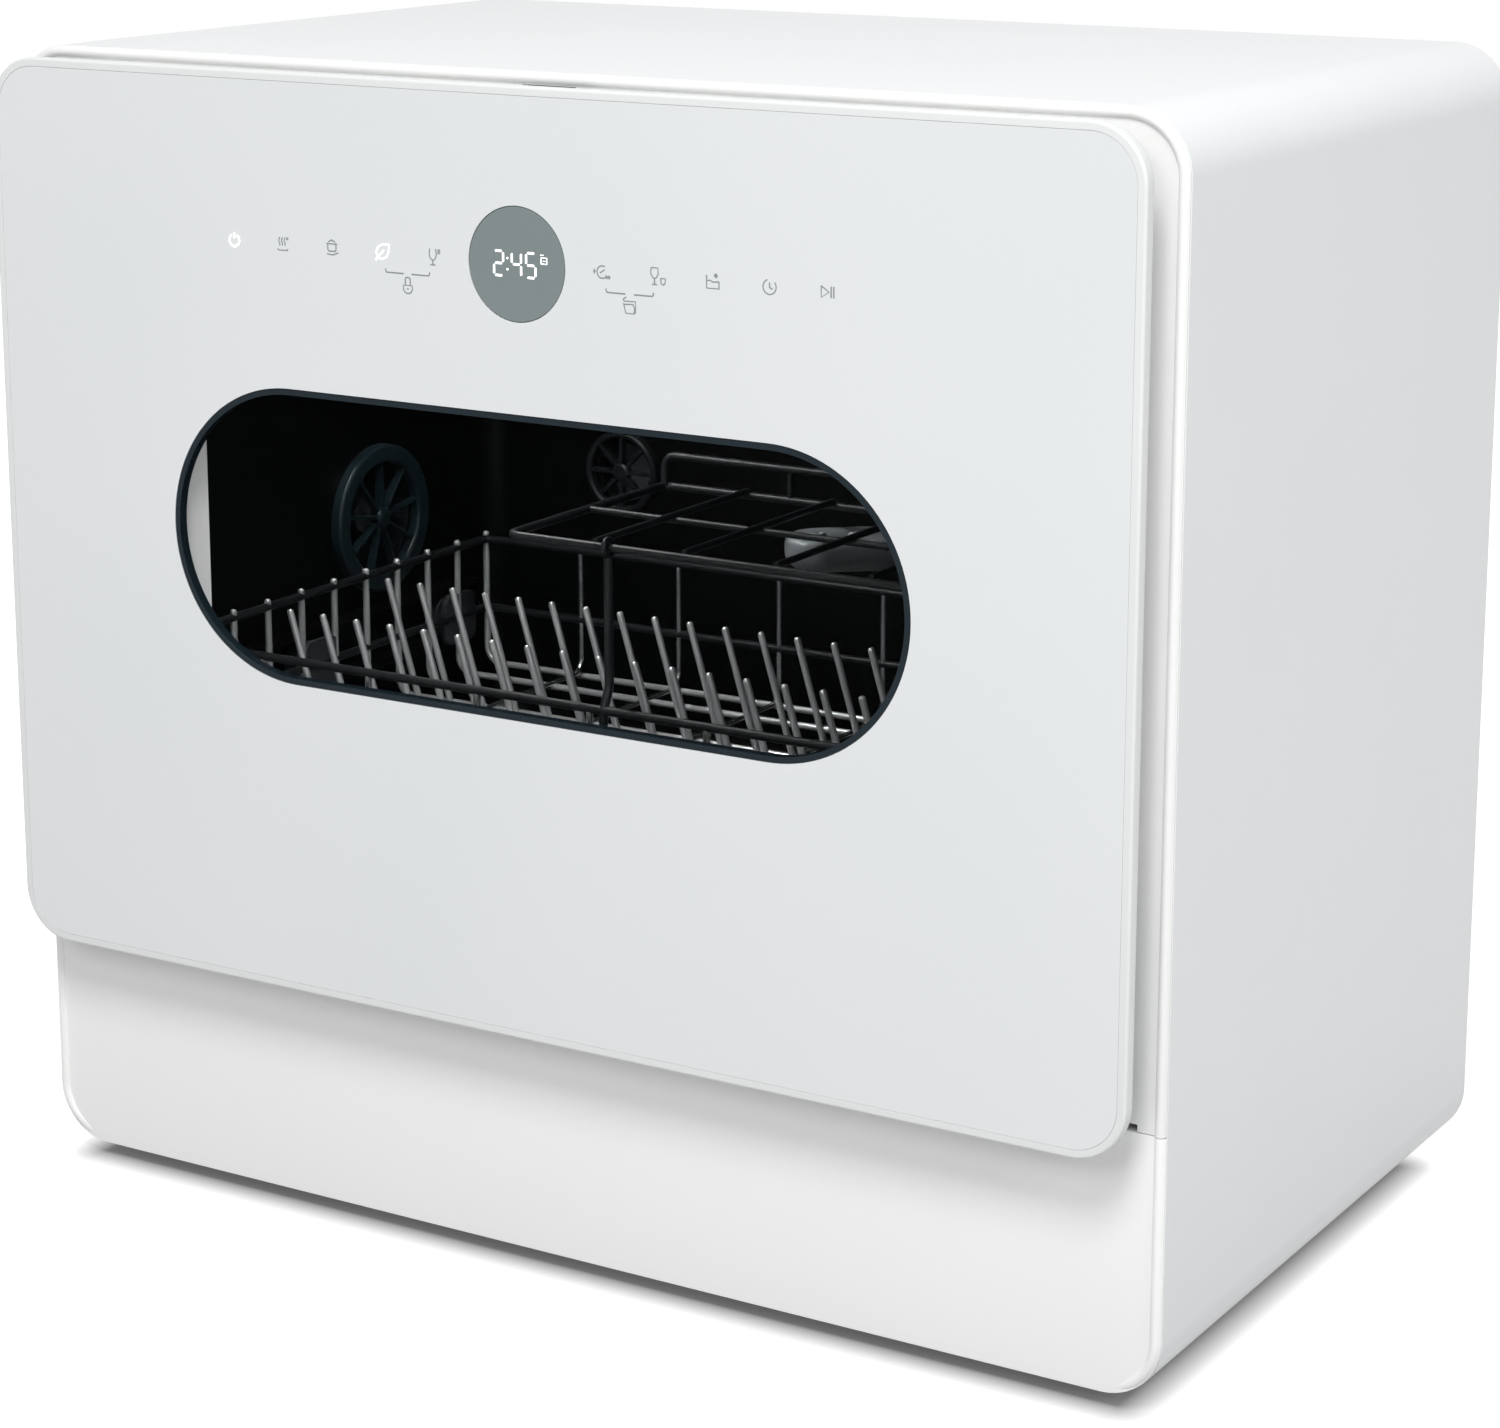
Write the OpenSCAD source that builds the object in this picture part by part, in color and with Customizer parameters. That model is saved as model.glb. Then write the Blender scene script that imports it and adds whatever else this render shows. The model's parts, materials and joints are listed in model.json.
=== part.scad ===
// Countertop dishwasher with a glass front door, a stadium window and one pull-out rack.
// Millimetres. X is to the right, the door faces -Y, Z is up.
// The origin is on the surface it stands on, under the centre of the whole machine.

/* [Case] */
// Width of the case
body_w = 480; // [440:1:580]
// Height of the case without its feet
body_h = 432; // [410:1:520]
// Depth of the case without the door
body_d = 280; // [260:1:340]
// Radius of the four long edges
corner_r = 22; // [16:1:26]
// Thickness of the steel wrap
sheet_t = 1.2; // [0.8:0.1:1.6]
// Height of the feet
foot_h = 6; // [4:0.5:12]
// Radius of a foot
foot_r = 12; // [8:1:14]
// Height of the plinth panel
plinth_h = 95; // [90:1:100]
// Wall of the moulded front pieces
mould_t = 3; // [2.4:0.1:3.4]
// Height of the raised bead round the rim, which the plinth panel is flush with
bead_h = 2.5; // [1.5:0.1:2.6]
// Width of the raised bead
bead_w = 4.2; // [3:0.1:6]

/* [Door] */
// How far the door stands in front of the case
door_proud = 22; // [20:1:26]
// Height of the door's lower edge above the case's bottom
door_base = 90; // [86:1:92]
// Corner radius of the door
door_r = 20; // [16:1:24]
// Depth of the door's front slab, its visible side
slab_t = 8.3; // [7.5:0.1:9]
// Thickness of the outer glass
glass_t = 4; // [3:0.5:5]
// Width of the white lip round the outer glass
lip_w = 3.5; // [2.5:0.5:5]
// Wall of the inner door
liner_t = 2.5; // [2:0.1:3]

/* [Window and controls] */
// Length of the window
window_w = 308; // [260:1:320]
// Height of the window, whose ends are half circles
window_h = 109; // [90:1:112]
// Distance from the door's top edge to the window's centre line
window_drop = 167; // [160:1:172]
// Diameter of the round display
display_d = 40; // [30:1:44]
// Distance from the door's top edge to the row of touch keys
keys_drop = 60.5; // [56:0.5:66]
// Thickness of the inner pane
pane_t = 3.5; // [3:0.5:4]

/* [Tub] */
// Gap between the tub's inner side and the case's outer side
tub_side_gap = 26; // [24:1:30]
// Gap between the tub's ceiling and the case's top
tub_top_gap = 17; // [16:1:24]
// Gap between the tub's inner back and the case's back
tub_rear_gap = 18; // [16:1:24]
// Height of the sill between the plinth panel and the tub's floor
sill_h = 20; // [18:1:24]
// Wall of the tub
tub_t = 2; // [1.6:0.1:3]
// Radius of the tub's long edges
tub_r = 24; // [18:1:30]

/* [Rack] */
// Height of the rack's floor wires above the tub's floor
rack_lift = 33; // [30:1:38]
// Height of the rack's walls
rack_h = 55; // [46:1:60]
// Radius of the rack's frame wires
wire_r = 1.75; // [1.4:0.05:2.2]
// Radius of the tines
tine_r = 1.4; // [1:0.1:1.8]
// Length of the tines
tine_l = 58; // [40:0.5:70]
// Spacing of the tines
tine_pitch = 16.4; // [13:0.1:20]
// Lean of the tines from upright
tine_lean = 17; // [0:1:22]
// Radius of the rack's rollers
roller_r = 9; // [7:0.5:10]
// Height of the cup shelf above the tub's floor
shelf_lift = 147; // [140:1:160]
// Depth of the cup shelf
shelf_d = 105; // [80:1:110]

/* [Wash system] */
// Radius of the round posts that the spray arms turn on
hub_r = 8.9; // [7:0.1:10]
// Thickness of a spray arm
arm_t = 13; // [10:1:15]
// Radius of the filter cup
filter_r = 30; // [24:1:33]
// Radius of the round vent in the side wall
vent_r = 31.5; // [26:0.5:34]
// Radius of the water inlet's thread
inlet_r = 13.2; // [9:0.1:14]
// Radius of the drain spigot
drain_r = 9.5; // [7:0.5:11]

/* [Hidden] */
$fn = 64;
eps = 0.01;
// Clearances
snug = 0.1;       // between moulded pieces and the sheet round them
gap = 0.3;        // between pieces that slide or turn side by side
run = 0.05;       // between a shaft and its bore, on the radius

// Planes of the whole machine
total_d = body_d + door_proud;
front_y = -total_d / 2;
rear_y = total_d / 2;
face_y = front_y + door_proud;
case_x = body_w / 2;
base_z = foot_h;
top_z = foot_h + body_h;
skin = sheet_t + snug;
plinth_z = base_z + plinth_h;
floor_z = base_z + sheet_t + snug;
tray_t = 2;
tray_top = floor_z + tray_t;

// Tub planes, all on its inner faces
tub_x = case_x - tub_side_gap;
tub_z0 = plinth_z + sill_h;
tub_z1 = top_z - tub_top_gap;
tub_y0 = face_y + mould_t;
tub_y1 = rear_y - tub_rear_gap;
under_z = tub_z0 - tub_t;
seal_w = 9;

// Door planes
door_x = case_x - 5;
door_z0 = base_z + door_base;
door_z1 = top_z - 3;
slab_y = front_y + slab_t;
hinge_y = face_y - 10.2;
hinge_z = door_z0 + 7.2;
liner_x = tub_x - 1.5;
liner_z0 = hinge_z + 3.8;
liner_z1 = top_z - 13;
liner_y = slab_y + gap;
plug_x = tub_x - seal_w - 3;
plug_z0 = tub_z0 + seal_w + 2;
plug_z1 = tub_z1 - seal_w - 4;
plug_y = face_y + 8;
window_z = door_z1 - window_drop;
keys_z = door_z1 - keys_drop;
tunnel_x = window_w / 2 + 13;
tunnel_h = window_h / 2 + 7.5;
rabbet = 7;
board_w = 280;
board_t = 1.7;    // from the slab's back to the touch board's back

// Dispenser in the inner door
cup_w = 40;
cup_z0 = plug_z0 + 16;
cup_z1 = window_z - tunnel_h - 18;
cup_x = -52;
lid_travel = cup_w + 6;
disp_x0 = cup_x - lid_travel - 6;
disp_x1 = 32;
disp_z0 = plug_z0 + 5;
disp_z1 = window_z - tunnel_h - 12;
disp_y = face_y + 7;
rinse_r = 11;
rinse_x = 12;

// Hinge
pin_r = 2;
knuckle_r = 3.2;
arm_x = liner_x;
arm_w = 4.5;
ear_x = arm_x + arm_w + 2 * gap;
ear_w = 4;
ear_back = face_y + 40;
ear_foot = 24;    // how far the bracket's foot reaches inwards

// Latch at the top: the hook in the middle and the pusher beside it
hook_x = 8;
hook_t = 3.5;
hook_y = face_y + 13;
pusher_x = 20;
pusher_r = 3.5;
pusher_z = liner_z1 + 4;
latch_back = face_y + 34;

// Rack planes
rack_x = tub_x - 16;
rack_y0 = face_y + 20;
rack_y1 = tub_y1 - 26;
rack_z = tub_z0 + rack_lift;
rack_top = rack_z + rack_h;
roller_z = rack_z + 24;
roller_w = 6;
roller_x = rack_x + 6;
roller_front = rack_y0 + 98;
roller_rear = rack_y1 - 21;
axle_r = 2.5;
rail_w = 10.5;
// Bays between the wires, across the machine and from front to back
bays_x = 8;
bays_y = 10;
thin_r = wire_r * 0.8;
tine_side = 28;   // from the rack's left wall to the first tine
tine_end = 23;    // from the last tine to the right wall, at least
shelf_z = tub_z0 + shelf_lift;
shelf_y = rack_y0 + 4;
shelf_x0 = -39;
shelf_x1 = rack_x - 8;
shelf_r = 1.6;
fill_r = 1.3;
lip_h = 12;

// Spray arms
lower_x = 0;
lower_y = (tub_y0 + tub_y1) / 2;
lower_reach = (tub_y1 - tub_y0) / 2 - 22;
lower_z = tub_z0 + 2.8;
pipe_r = 7;
pipe_y = tub_y1 - 10;
upper_reach = (pipe_y - rack_y0) / 2 - 41;
upper_x = tub_x - 54 - upper_reach;
upper_y = pipe_y - upper_reach - 18;
upper_z = shelf_z - 9 - arm_t;
pipe_z = upper_z + arm_t + 11;
elbow = 10;       // half the width of an elbow block
nut_t = 4;
nut_r = 12;
nozzle_h = 1.2;
nozzle_places = [0.45, 0.65, 0.84]; // as shares of the arm's reach

// Sump, filter and softener
sump_x0 = lower_x - 32;
filter_x = lower_x + 130;
sump_x1 = filter_x + filter_r + 12;
sump_y0 = lower_y - filter_r - 6;
sump_y1 = lower_y + filter_r + 6;
sump_z = tub_z0 - 47;
hose_z = sump_z + 22;
salt_x = -tub_x + 72;
salt_y = tub_y1 - 70;
salt_r = 26;

// Rear recess for the hoses
recess_x0 = case_x - 130;
recess_x1 = case_x - 25;
recess_z0 = base_z + 24;
recess_z1 = base_z + 89;
recess_d = 24;
panel_t = 1.5;
panel_y = rear_y - 3;
inlet_x = recess_x1 - 30;
drain_x = recess_x0 + 27;
port_z = (recess_z0 + recess_z1) / 2;
recess_y = panel_y - recess_d;
collar_t = 3;
screw_r = 1.5;
gland_x = -case_x + 60;
gland_z = port_z - 18;
gland_r = 7;

// Round vents
vent_y = tub_y1 - 83;
vent_z = rack_top + 18;
breather_x = -tub_x + 71;
breather_z = vent_z + 13;
breather_r = 18;

// Shared shapes

// Extrudes a front-view outline, drawn in X and Z, from one Y plane back to another
module slab(y0, y1) {
  translate([0, y1, 0]) rotate([90, 0, 0]) linear_extrude(y1 - y0) children();
}

// Extrudes a side-view outline, drawn in Y and Z, from one X plane to another
module side(x0, x1) {
  translate([x0, 0, 0]) rotate([90, 0, 90]) linear_extrude(x1 - x0) children();
}

// Rectangle between two corners with round corners
module rounded(x0, z0, x1, z1, r) {
  translate([x0 + r, z0]) square([x1 - x0 - 2 * r, z1 - z0]);
  translate([x0, z0 + r]) square([x1 - x0, z1 - z0 - 2 * r]);
  for (x = [x0 + r, x1 - r], z = [z0 + r, z1 - r])
    translate([x, z]) circle(r);
}

// Rectangle between two corners
module rect(x0, z0, x1, z1) {
  translate([x0, z0]) square([x1 - x0, z1 - z0]);
}

// Slot with half-circle ends, centred
module stadium(w, h) {
  translate([-(w - h) / 2, -h / 2]) square([w - h, h]);
  for (s = [-1, 1])
    translate([s * (w - h) / 2, 0]) circle(h / 2);
}

// Box between two corners
module box(a, b) {
  translate(a) cube([b[0] - a[0], b[1] - a[1], b[2] - a[2]]);
}

// Round bar along an axis, from a start point
module bar_x(x0, x1, y, z, r) {
  translate([x0, y, z]) rotate([0, 90, 0]) cylinder(r = r, h = x1 - x0);
}
module bar_y(x, y0, y1, z, r) {
  translate([x, y1, z]) rotate([90, 0, 0]) cylinder(r = r, h = y1 - y0);
}
module bar_z(x, y, z0, z1, r) {
  translate([x, y, z0]) cylinder(r = r, h = z1 - z0);
}

// Draws its children on the right and mirrored on the left
module both_sides() {
  children();
  mirror([1, 0, 0]) children();
}

// Outline of the case, drawn in by a distance
module case_outline(inset) {
  rounded(-case_x + inset, base_z + inset, case_x - inset, top_z - inset, corner_r - inset);
}

// Outline of the tub's inner space, drawn out by a distance
module tub_outline(out) {
  rounded(-tub_x - out, tub_z0 - out, tub_x + out, tub_z1 + out, tub_r + out);
}

// Outline of the inner pane's seat, drawn out by a distance
module pane_outline(out) {
  x = tunnel_x + rabbet + out;
  h = tunnel_h + rabbet + out;
  rounded(-x, window_z - h, x, window_z + h, 8 + out);
}

// Round grille of an outer ring, a hub and radial spokes, drawn flat
module spoked_disc(r, ring, hub, spokes, spoke_w) {
  difference() {
    circle(r);
    circle(r - ring);
  }
  circle(hub);
  for (i = [0:spokes - 1])
    rotate(i * 360 / spokes)
      translate([hub - 1, -spoke_w / 2]) square([r - ring - hub + 2, spoke_w]);
}

// Case

module case_wrap() color("#eceeef") {
  difference() {
    slab(face_y, rear_y) difference() {
      case_outline(0);
      case_outline(sheet_t);
    }
    // Opening under the base tray
    box([-case_x + 40, face_y + 18, base_z - 1], [case_x - 40, rear_y - 18, base_z + sheet_t + 1]);
  }
  // Inward flange at the back, which the rear panel is screwed to
  difference() {
    slab(panel_y - sheet_t - snug, panel_y - snug) difference() {
      case_outline(sheet_t - eps);
      case_outline(sheet_t + 12);
      rect(-case_x + 40, base_z - 1, case_x - 40, base_z + 20);
    }
    for (p = screw_places()) bar_y(p[0], rear_y - 20, rear_y, p[1], screw_r + snug);
  }
}

module front_bezel() color("#f4f5f5") {
  difference() {
    union() {
      slab(face_y, face_y + mould_t) bezel_outline(skin);
      // Raised bead near the outer edge
      slab(face_y - bead_h, face_y + eps) difference() {
        bezel_outline(skin + 0.5);
        bezel_outline(skin + 0.5 + bead_w);
      }
      // Return along the inside of the wrap
      slab(face_y + mould_t - eps, face_y + 10) difference() {
        bezel_outline(skin);
        bezel_outline(skin + 2.4);
        rect(-case_x, plinth_z - 1, case_x, plinth_z + 14);
      }
    }
    slab(face_y - 5, face_y + mould_t + 5) tub_outline(0);
    // Slots for the hinge ears, the latch hook and the pusher
    both_sides()
      box([ear_x - gap, face_y - 5, plinth_z - 1], [ear_x + ear_w + gap, face_y + 20, hinge_z + 4]);
    box([-hook_x - 3, face_y - 5, liner_z1 - 1.3], [hook_x + 3, face_y + 5, liner_z1 + 8.3]);
    bar_y(pusher_x, face_y - 5, face_y + 5, pusher_z, pusher_r + gap);
  }
}

// Upper part of the case's outline, drawn in by a distance, down to the plinth panel
module bezel_outline(inset) {
  intersection() {
    case_outline(inset);
    rect(-case_x, plinth_z + gap / 2, case_x, top_z);
  }
}

module plinth_outline(inset) {
  intersection() {
    case_outline(skin + inset);
    rect(-case_x, base_z, case_x, plinth_z - gap / 2 - inset);
  }
}

module plinth_panel() color("#eaecec") {
  slab(face_y - bead_h, face_y - bead_h + mould_t) plinth_outline(0);
  slab(face_y - bead_h + mould_t - eps, face_y + 12) difference() {
    plinth_outline(0);
    plinth_outline(mould_t);
  }
}

// Screw places on the rear panel, as X and Z
function screw_places() = [
  for (x = [-0.82, -0.3, 0.3, 0.82]) [x * case_x, top_z - 8],
  for (s = [-1, 1], z = [0.3, 0.62]) [s * (case_x - 8), base_z + z * body_h]
];

module rear_panel() color("#d9dcde") {
  difference() {
    slab(panel_y, panel_y + panel_t) difference() {
      case_outline(skin);
      rect(recess_x0, recess_z0, recess_x1, recess_z1);
      for (i = [0:9]) translate([-60 + i * 12, base_z + 58]) rotate(90) stadium(56, 4);
      translate([gland_x, gland_z]) circle(gland_r + 0.2);
    }
    for (p = screw_places()) bar_y(p[0], rear_y - 20, rear_y, p[1], screw_r + snug);
  }
  // Recess that keeps the hose connections inside the machine's outline
  difference() {
    slab(recess_y, panel_y + eps)
      rect(recess_x0 - panel_t, recess_z0 - panel_t, recess_x1 + panel_t, recess_z1 + panel_t);
    slab(recess_y + panel_t, panel_y + 5) rect(recess_x0, recess_z0, recess_x1, recess_z1);
    bar_y(inlet_x, recess_y - 5, recess_y + 5, port_z, inlet_r + gap);
    bar_y(drain_x, recess_y - 5, recess_y + 5, port_z, drain_r + gap);
  }
}

module base_tray() color("#4a4d50") {
  x = case_x - corner_r - 1;
  difference() {
    box([-x, face_y + 13, floor_z], [x, panel_y - 2, tray_top]);
    for (i = [0:5]) translate([-50 + i * 20, face_y + 40, floor_z - 1]) cube([6, 60, tray_t + 2]);
  }
  // Stiffening ribs
  for (y = [face_y + 13, panel_y - 5])
    box([-x + 45, y, tray_top - eps], [x - 45, y + 3, tray_top + 12]);
}

module feet() color("#2b2c2d") {
  for (x = [-1, 1] * (case_x - 55), y = [face_y + 34, rear_y - 34]) {
    bar_z(x, y, 0, 2, foot_r);
    bar_z(x, y, 2 - eps, floor_z, foot_r - 2);
  }
}

// Tub

module tub() color("#26292b") {
  difference() {
    union() {
      slab(tub_y0, tub_y1) difference() {
        tub_outline(tub_t);
        tub_outline(0);
      }
      slab(tub_y1 - eps, tub_y1 + tub_t) tub_outline(tub_t);
    }
    bar_z(lower_x, lower_y, under_z - 1, tub_z0 + 1, hub_r + gap);
    bar_z(filter_x, lower_y, under_z - 1, tub_z0 + 1, filter_r + 1);
    bar_z(upper_x, pipe_y, under_z - 1, tub_z0 + 1, pipe_r + gap);
    bar_z(salt_x, salt_y, under_z - 1, tub_z0 + 1, salt_r - 4);
    bar_x(-tub_x - 5, -tub_x + 1, vent_y, vent_z, vent_r - 6);
    bar_y(breather_x, tub_y1 - 1, tub_y1 + 5, breather_z, breather_r - 5);
  }
}

module door_gasket() color("#2f3234") {
  slab(face_y + 1, face_y + 8) difference() {
    tub_outline(0);
    tub_outline(-seal_w);
  }
}

module rack_rails() color("#85898c") {
  both_sides() side(tub_x - rail_w, tub_x) {
    rect(face_y + 10, roller_z - roller_r - 3.2, roller_rear + 26, roller_z - roller_r - 0.2);
    rect(face_y + 10, roller_z + roller_r + 0.4, roller_rear + 26, roller_z + roller_r + 2.8);
  }
  both_sides() side(tub_x - 1.5, tub_x)
    rect(face_y + 10, roller_z - roller_r - 1, roller_rear + 26, roller_z + roller_r + 1);
  // End stop behind the rear roller
  both_sides() side(tub_x - rail_w, tub_x)
    rect(roller_rear + 22, roller_z - roller_r - 3.2, roller_rear + 26, roller_z + roller_r + 2.8);
}

module vent_grille() color("#2f4347") {
  side(-tub_x, -tub_x + 4) translate([vent_y, vent_z]) spoked_disc(vent_r, 5, 7, 9, 2.2);
}

module breather_cover() color("#1e2122") {
  slab(tub_y1 - 4, tub_y1 - eps) translate([breather_x, breather_z]) spoked_disc(breather_r, 3, 4, 8, 1.8);
}

module fan_housing() color("#3a3d3f") {
  x0 = -case_x + sheet_t + 2.5;
  x1 = -tub_x - tub_t;
  difference() {
    bar_x(x0, x1, vent_y, vent_z, vent_r + 3);
    bar_x(x0 + 2, x1 + 1, vent_y, vent_z, vent_r);
  }
  bar_x(x0 + 1, x1 - 3, vent_y, vent_z, pin_r);
}

module fan_impeller() color("#5b5f61") {
  x0 = -case_x + sheet_t + 2.5 + 2 + 1;
  x1 = -tub_x - tub_t - 4;
  difference() {
    union() {
      bar_x(x0, x0 + 1.5, vent_y, vent_z, vent_r - 3);
      bar_x(x0, x1, vent_y, vent_z, 7);
      translate([x0, vent_y, vent_z]) for (i = [0:10])
        rotate([i * 360 / 11, 0, 0]) translate([1.5 - eps, -0.75, 14]) cube([x1 - x0 - 2, 1.5, vent_r - 18]);
    }
    bar_x(x0 - 1, x1 + 1, vent_y, vent_z, pin_r + run);
  }
}

// Wash system

module sump() color("#3b3f42") {
  difference() {
    box([sump_x0, sump_y0, sump_z], [sump_x1, sump_y1, under_z]);
    bar_z(filter_x, lower_y, sump_z + 4, under_z + 1, filter_r + 1);
    bar_z(lower_x, lower_y, sump_z + 16, under_z + 1, hub_r + gap);
    bar_y(upper_x, sump_y1 - 20, sump_y1 + 1, hose_z, pipe_r - 1);
  }
}

module filter_plate() color("#a6aaad") {
  w = filter_r + 26;
  difference() {
    translate([0, 0, tub_z0]) linear_extrude(1) difference() {
      rounded(filter_x - filter_r - 12, lower_y - w, filter_x + filter_r + 12, lower_y + w, 10);
      translate([filter_x, lower_y]) circle(filter_r + 1);
      for (i = [-2:2], s = [-1, 1])
        translate([filter_x + i * 14, lower_y + s * (w - 12)]) rotate(90) stadium(14, 4);
    }
  }
}

module filter_cup() color("#c3c6c8") {
  difference() {
    bar_z(filter_x, lower_y, sump_z + 4 + gap, tub_z0 + 2, filter_r);
    bar_z(filter_x, lower_y, sump_z + 6 + gap, tub_z0 + 4, filter_r - 2);
    for (i = [0:11]) translate([filter_x, lower_y, sump_z + 11]) rotate(i * 30)
      translate([filter_r - 5, -2.5, 0]) cube([10, 5, 28]);
  }
  // Grip across the mouth
  w = filter_r - 1;
  box([filter_x - w, lower_y - 1.5, tub_z0 - 14], [filter_x + w, lower_y + 1.5, tub_z0 + 2]);
}

module hub_post() color("#9a9ea1") {
  bar_z(lower_x, lower_y, tub_z0, lower_z - gap, hub_r + 7);
  difference() {
    bar_z(lower_x, lower_y, sump_z + 20, lower_z + arm_t + gap + nut_t, hub_r);
    bar_z(lower_x, lower_y, sump_z + 19, lower_z + arm_t - 2, hub_r - 2.5);
  }
  bar_z(lower_x, lower_y, lower_z + arm_t + gap, lower_z + arm_t + gap + nut_t, nut_r);
}

// Hollow blade that turns on a round post: a wide hub, two narrowing sides and round tips
module spray_arm(reach, tip_r) {
  difference() {
    union() {
      linear_extrude(arm_t) {
        circle(hub_r + 9);
        translate([-reach + tip_r, -tip_r]) square([2 * (reach - tip_r), 2 * tip_r]);
        for (s = [-1, 1]) translate([s * (reach - tip_r), 0]) circle(tip_r);
      }
      // Nozzles on the top
      for (s = [-1, 1], i = nozzle_places)
        translate([s * i * reach, s * 3, arm_t - eps]) cylinder(r = 3, h = nozzle_h);
    }
    for (s = [-1, 1], i = nozzle_places)
      translate([s * i * reach, s * 3, arm_t - 3]) cylinder(r = 1, h = 5);
    translate([0, 0, -1]) cylinder(r = hub_r + run, h = arm_t + 3);
  }
}

module lower_spray_arm() color("#8d9194") {
  translate([lower_x, lower_y, lower_z]) rotate(25) spray_arm(lower_reach, 13);
}

module upper_spray_arm() color("#8d9194") {
  translate([upper_x, upper_y, upper_z]) rotate(40) spray_arm(upper_reach, 14);
}

module feed_pipe() color("#3c4043") {
  e = elbow;
  n = nut_r;
  bar_z(upper_x, pipe_y, hose_z, pipe_z, pipe_r);
  bar_y(upper_x, upper_y, pipe_y, pipe_z, pipe_r);
  // Elbow blocks at the foot, behind the rack and over the upper arm
  box([upper_x - e, pipe_y - e + 1, hose_z - e], [upper_x + e, pipe_y + e - 1, hose_z + e]);
  box([upper_x - e, pipe_y - e + 1, pipe_z - e], [upper_x + e, pipe_y + e - gap, pipe_z + e]);
  over_arm = upper_z + arm_t + nozzle_h + gap;
  box([upper_x - n, upper_y - n, over_arm], [upper_x + n, upper_y + n, pipe_z + e - 2]);
  // Spindle and nut that carry the upper arm
  bar_z(upper_x, upper_y, upper_z - gap - nut_t, upper_z + arm_t + 5, hub_r);
  bar_z(upper_x, upper_y, upper_z - gap - nut_t, upper_z - gap, nut_r);
}

module circulation_hose() color("#1d1f20") {
  bar_y(upper_x, sump_y1, pipe_y - elbow + 1, hose_z, pipe_r + 2);
}

module wash_pump() color("#5a5e61") {
  motor_r = 26;
  volute_r = 31;
  back_x = lower_x - 80;
  front_x = lower_x + 20;
  z = tray_top + 33;
  bar_x(back_x, front_x, lower_y, z, motor_r);
  bar_x(front_x - eps, front_x + 24, lower_y, z, volute_r);
  bar_x(back_x - 8, back_x + eps, lower_y, z, 12);
  // Outlet into the sump
  bar_z(front_x + 12, lower_y, z + 20, sump_z, 10);
  // Rubber-mounted saddle on the base tray
  box([back_x + 20, lower_y - motor_r + 4, tray_top], [front_x - 20, lower_y + motor_r - 4, z - 10]);
}

module water_heater() color("#b4b7b9") {
  tank_r = 17;
  half_l = 62;
  z = tray_top + 28;
  x = filter_x - 8;
  bar_y(x, lower_y - half_l, lower_y + half_l, z, tank_r);
  bar_z(x, lower_y, z + 10, sump_z, 8);
  // Two cradles
  for (y = [lower_y - half_l + 14, lower_y + half_l - 22])
    box([x - tank_r + 3, y, tray_top], [x + tank_r - 3, y + 8, z - 8]);
}

module drain_pump() color("#6b6f72") {
  motor_r = 17;
  volute_r = 22;
  half_l = 24;
  y = recess_y - 26;
  bar_x(drain_x - half_l, drain_x + half_l, y, port_z, motor_r);
  bar_x(drain_x - half_l - 10, drain_x - half_l + eps, y, port_z, volute_r);
  box([drain_x - 14, y - 12, tray_top], [drain_x + 14, y + 12, port_z - 8]);
}

module drain_spigot() color("#2a2c2e") {
  difference() {
    union() {
      bar_y(drain_x, recess_y - 8.7, panel_y - 2, port_z, drain_r);
      bar_y(drain_x, recess_y - 4, recess_y, port_z, drain_r + 4);
      bar_y(drain_x, recess_y + panel_t, recess_y + panel_t + collar_t, port_z, drain_r + 4);
    }
    bar_y(drain_x, recess_y - 6, panel_y, port_z, drain_r - 2.5);
  }
}

module inlet_valve() color("#d3d6d8") {
  difference() {
    union() {
      bar_y(inlet_x, recess_y - 12, panel_y - 6, port_z, inlet_r);
      bar_y(inlet_x, recess_y - 4, recess_y, port_z, inlet_r + 4);
      bar_y(inlet_x, recess_y + panel_t, recess_y + panel_t + collar_t, port_z, inlet_r + 4);
    }
    bar_y(inlet_x, recess_y - 4, panel_y, port_z, inlet_r - 4);
  }
  box([inlet_x - 15, recess_y - 40, port_z - 15], [inlet_x + 15, recess_y - 12 + eps, port_z + 15]);
  // Solenoid
  bar_z(inlet_x, recess_y - 27, port_z + 14, port_z + 34, 11);
  box([inlet_x - 10, recess_y - 38, tray_top], [inlet_x + 10, recess_y - 18, port_z - 15 + eps]);
}

module softener_tank() color("#c9cbcc") {
  x = 55;
  y = 42;
  t = 3;
  difference() {
    union() {
      box([salt_x - x, salt_y - y, tray_top], [salt_x + x, salt_y + y, under_z - 8]);
      bar_z(salt_x, salt_y, under_z - 9, under_z, salt_r + 4);
      bar_z(salt_x, salt_y, under_z - 1, tub_z0 + 1.5, salt_r - 4 - gap);
    }
    box([salt_x - x + t, salt_y - y + t, tray_top + t], [salt_x + x - t, salt_y + y - t, under_z - 8 - t]);
    bar_z(salt_x, salt_y, tray_top + t, tub_z0 + 5, salt_r - 8);
  }
}

module salt_cap() color("#6f7375") {
  difference() {
    union() {
      bar_z(salt_x, salt_y, tub_z0 + 2, tub_z0 + 9, salt_r);
      bar_z(salt_x, salt_y, tub_z0 - 12, tub_z0 + 3, salt_r - 8 - run);
    }
    bar_z(salt_x, salt_y, tub_z0 - 13, tub_z0 + 5, salt_r - 11);
  }
  box([salt_x - salt_r + 6, salt_y - 3, tub_z0 + 9 - eps], [salt_x + salt_r - 6, salt_y + 3, tub_z0 + 14]);
}

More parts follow.
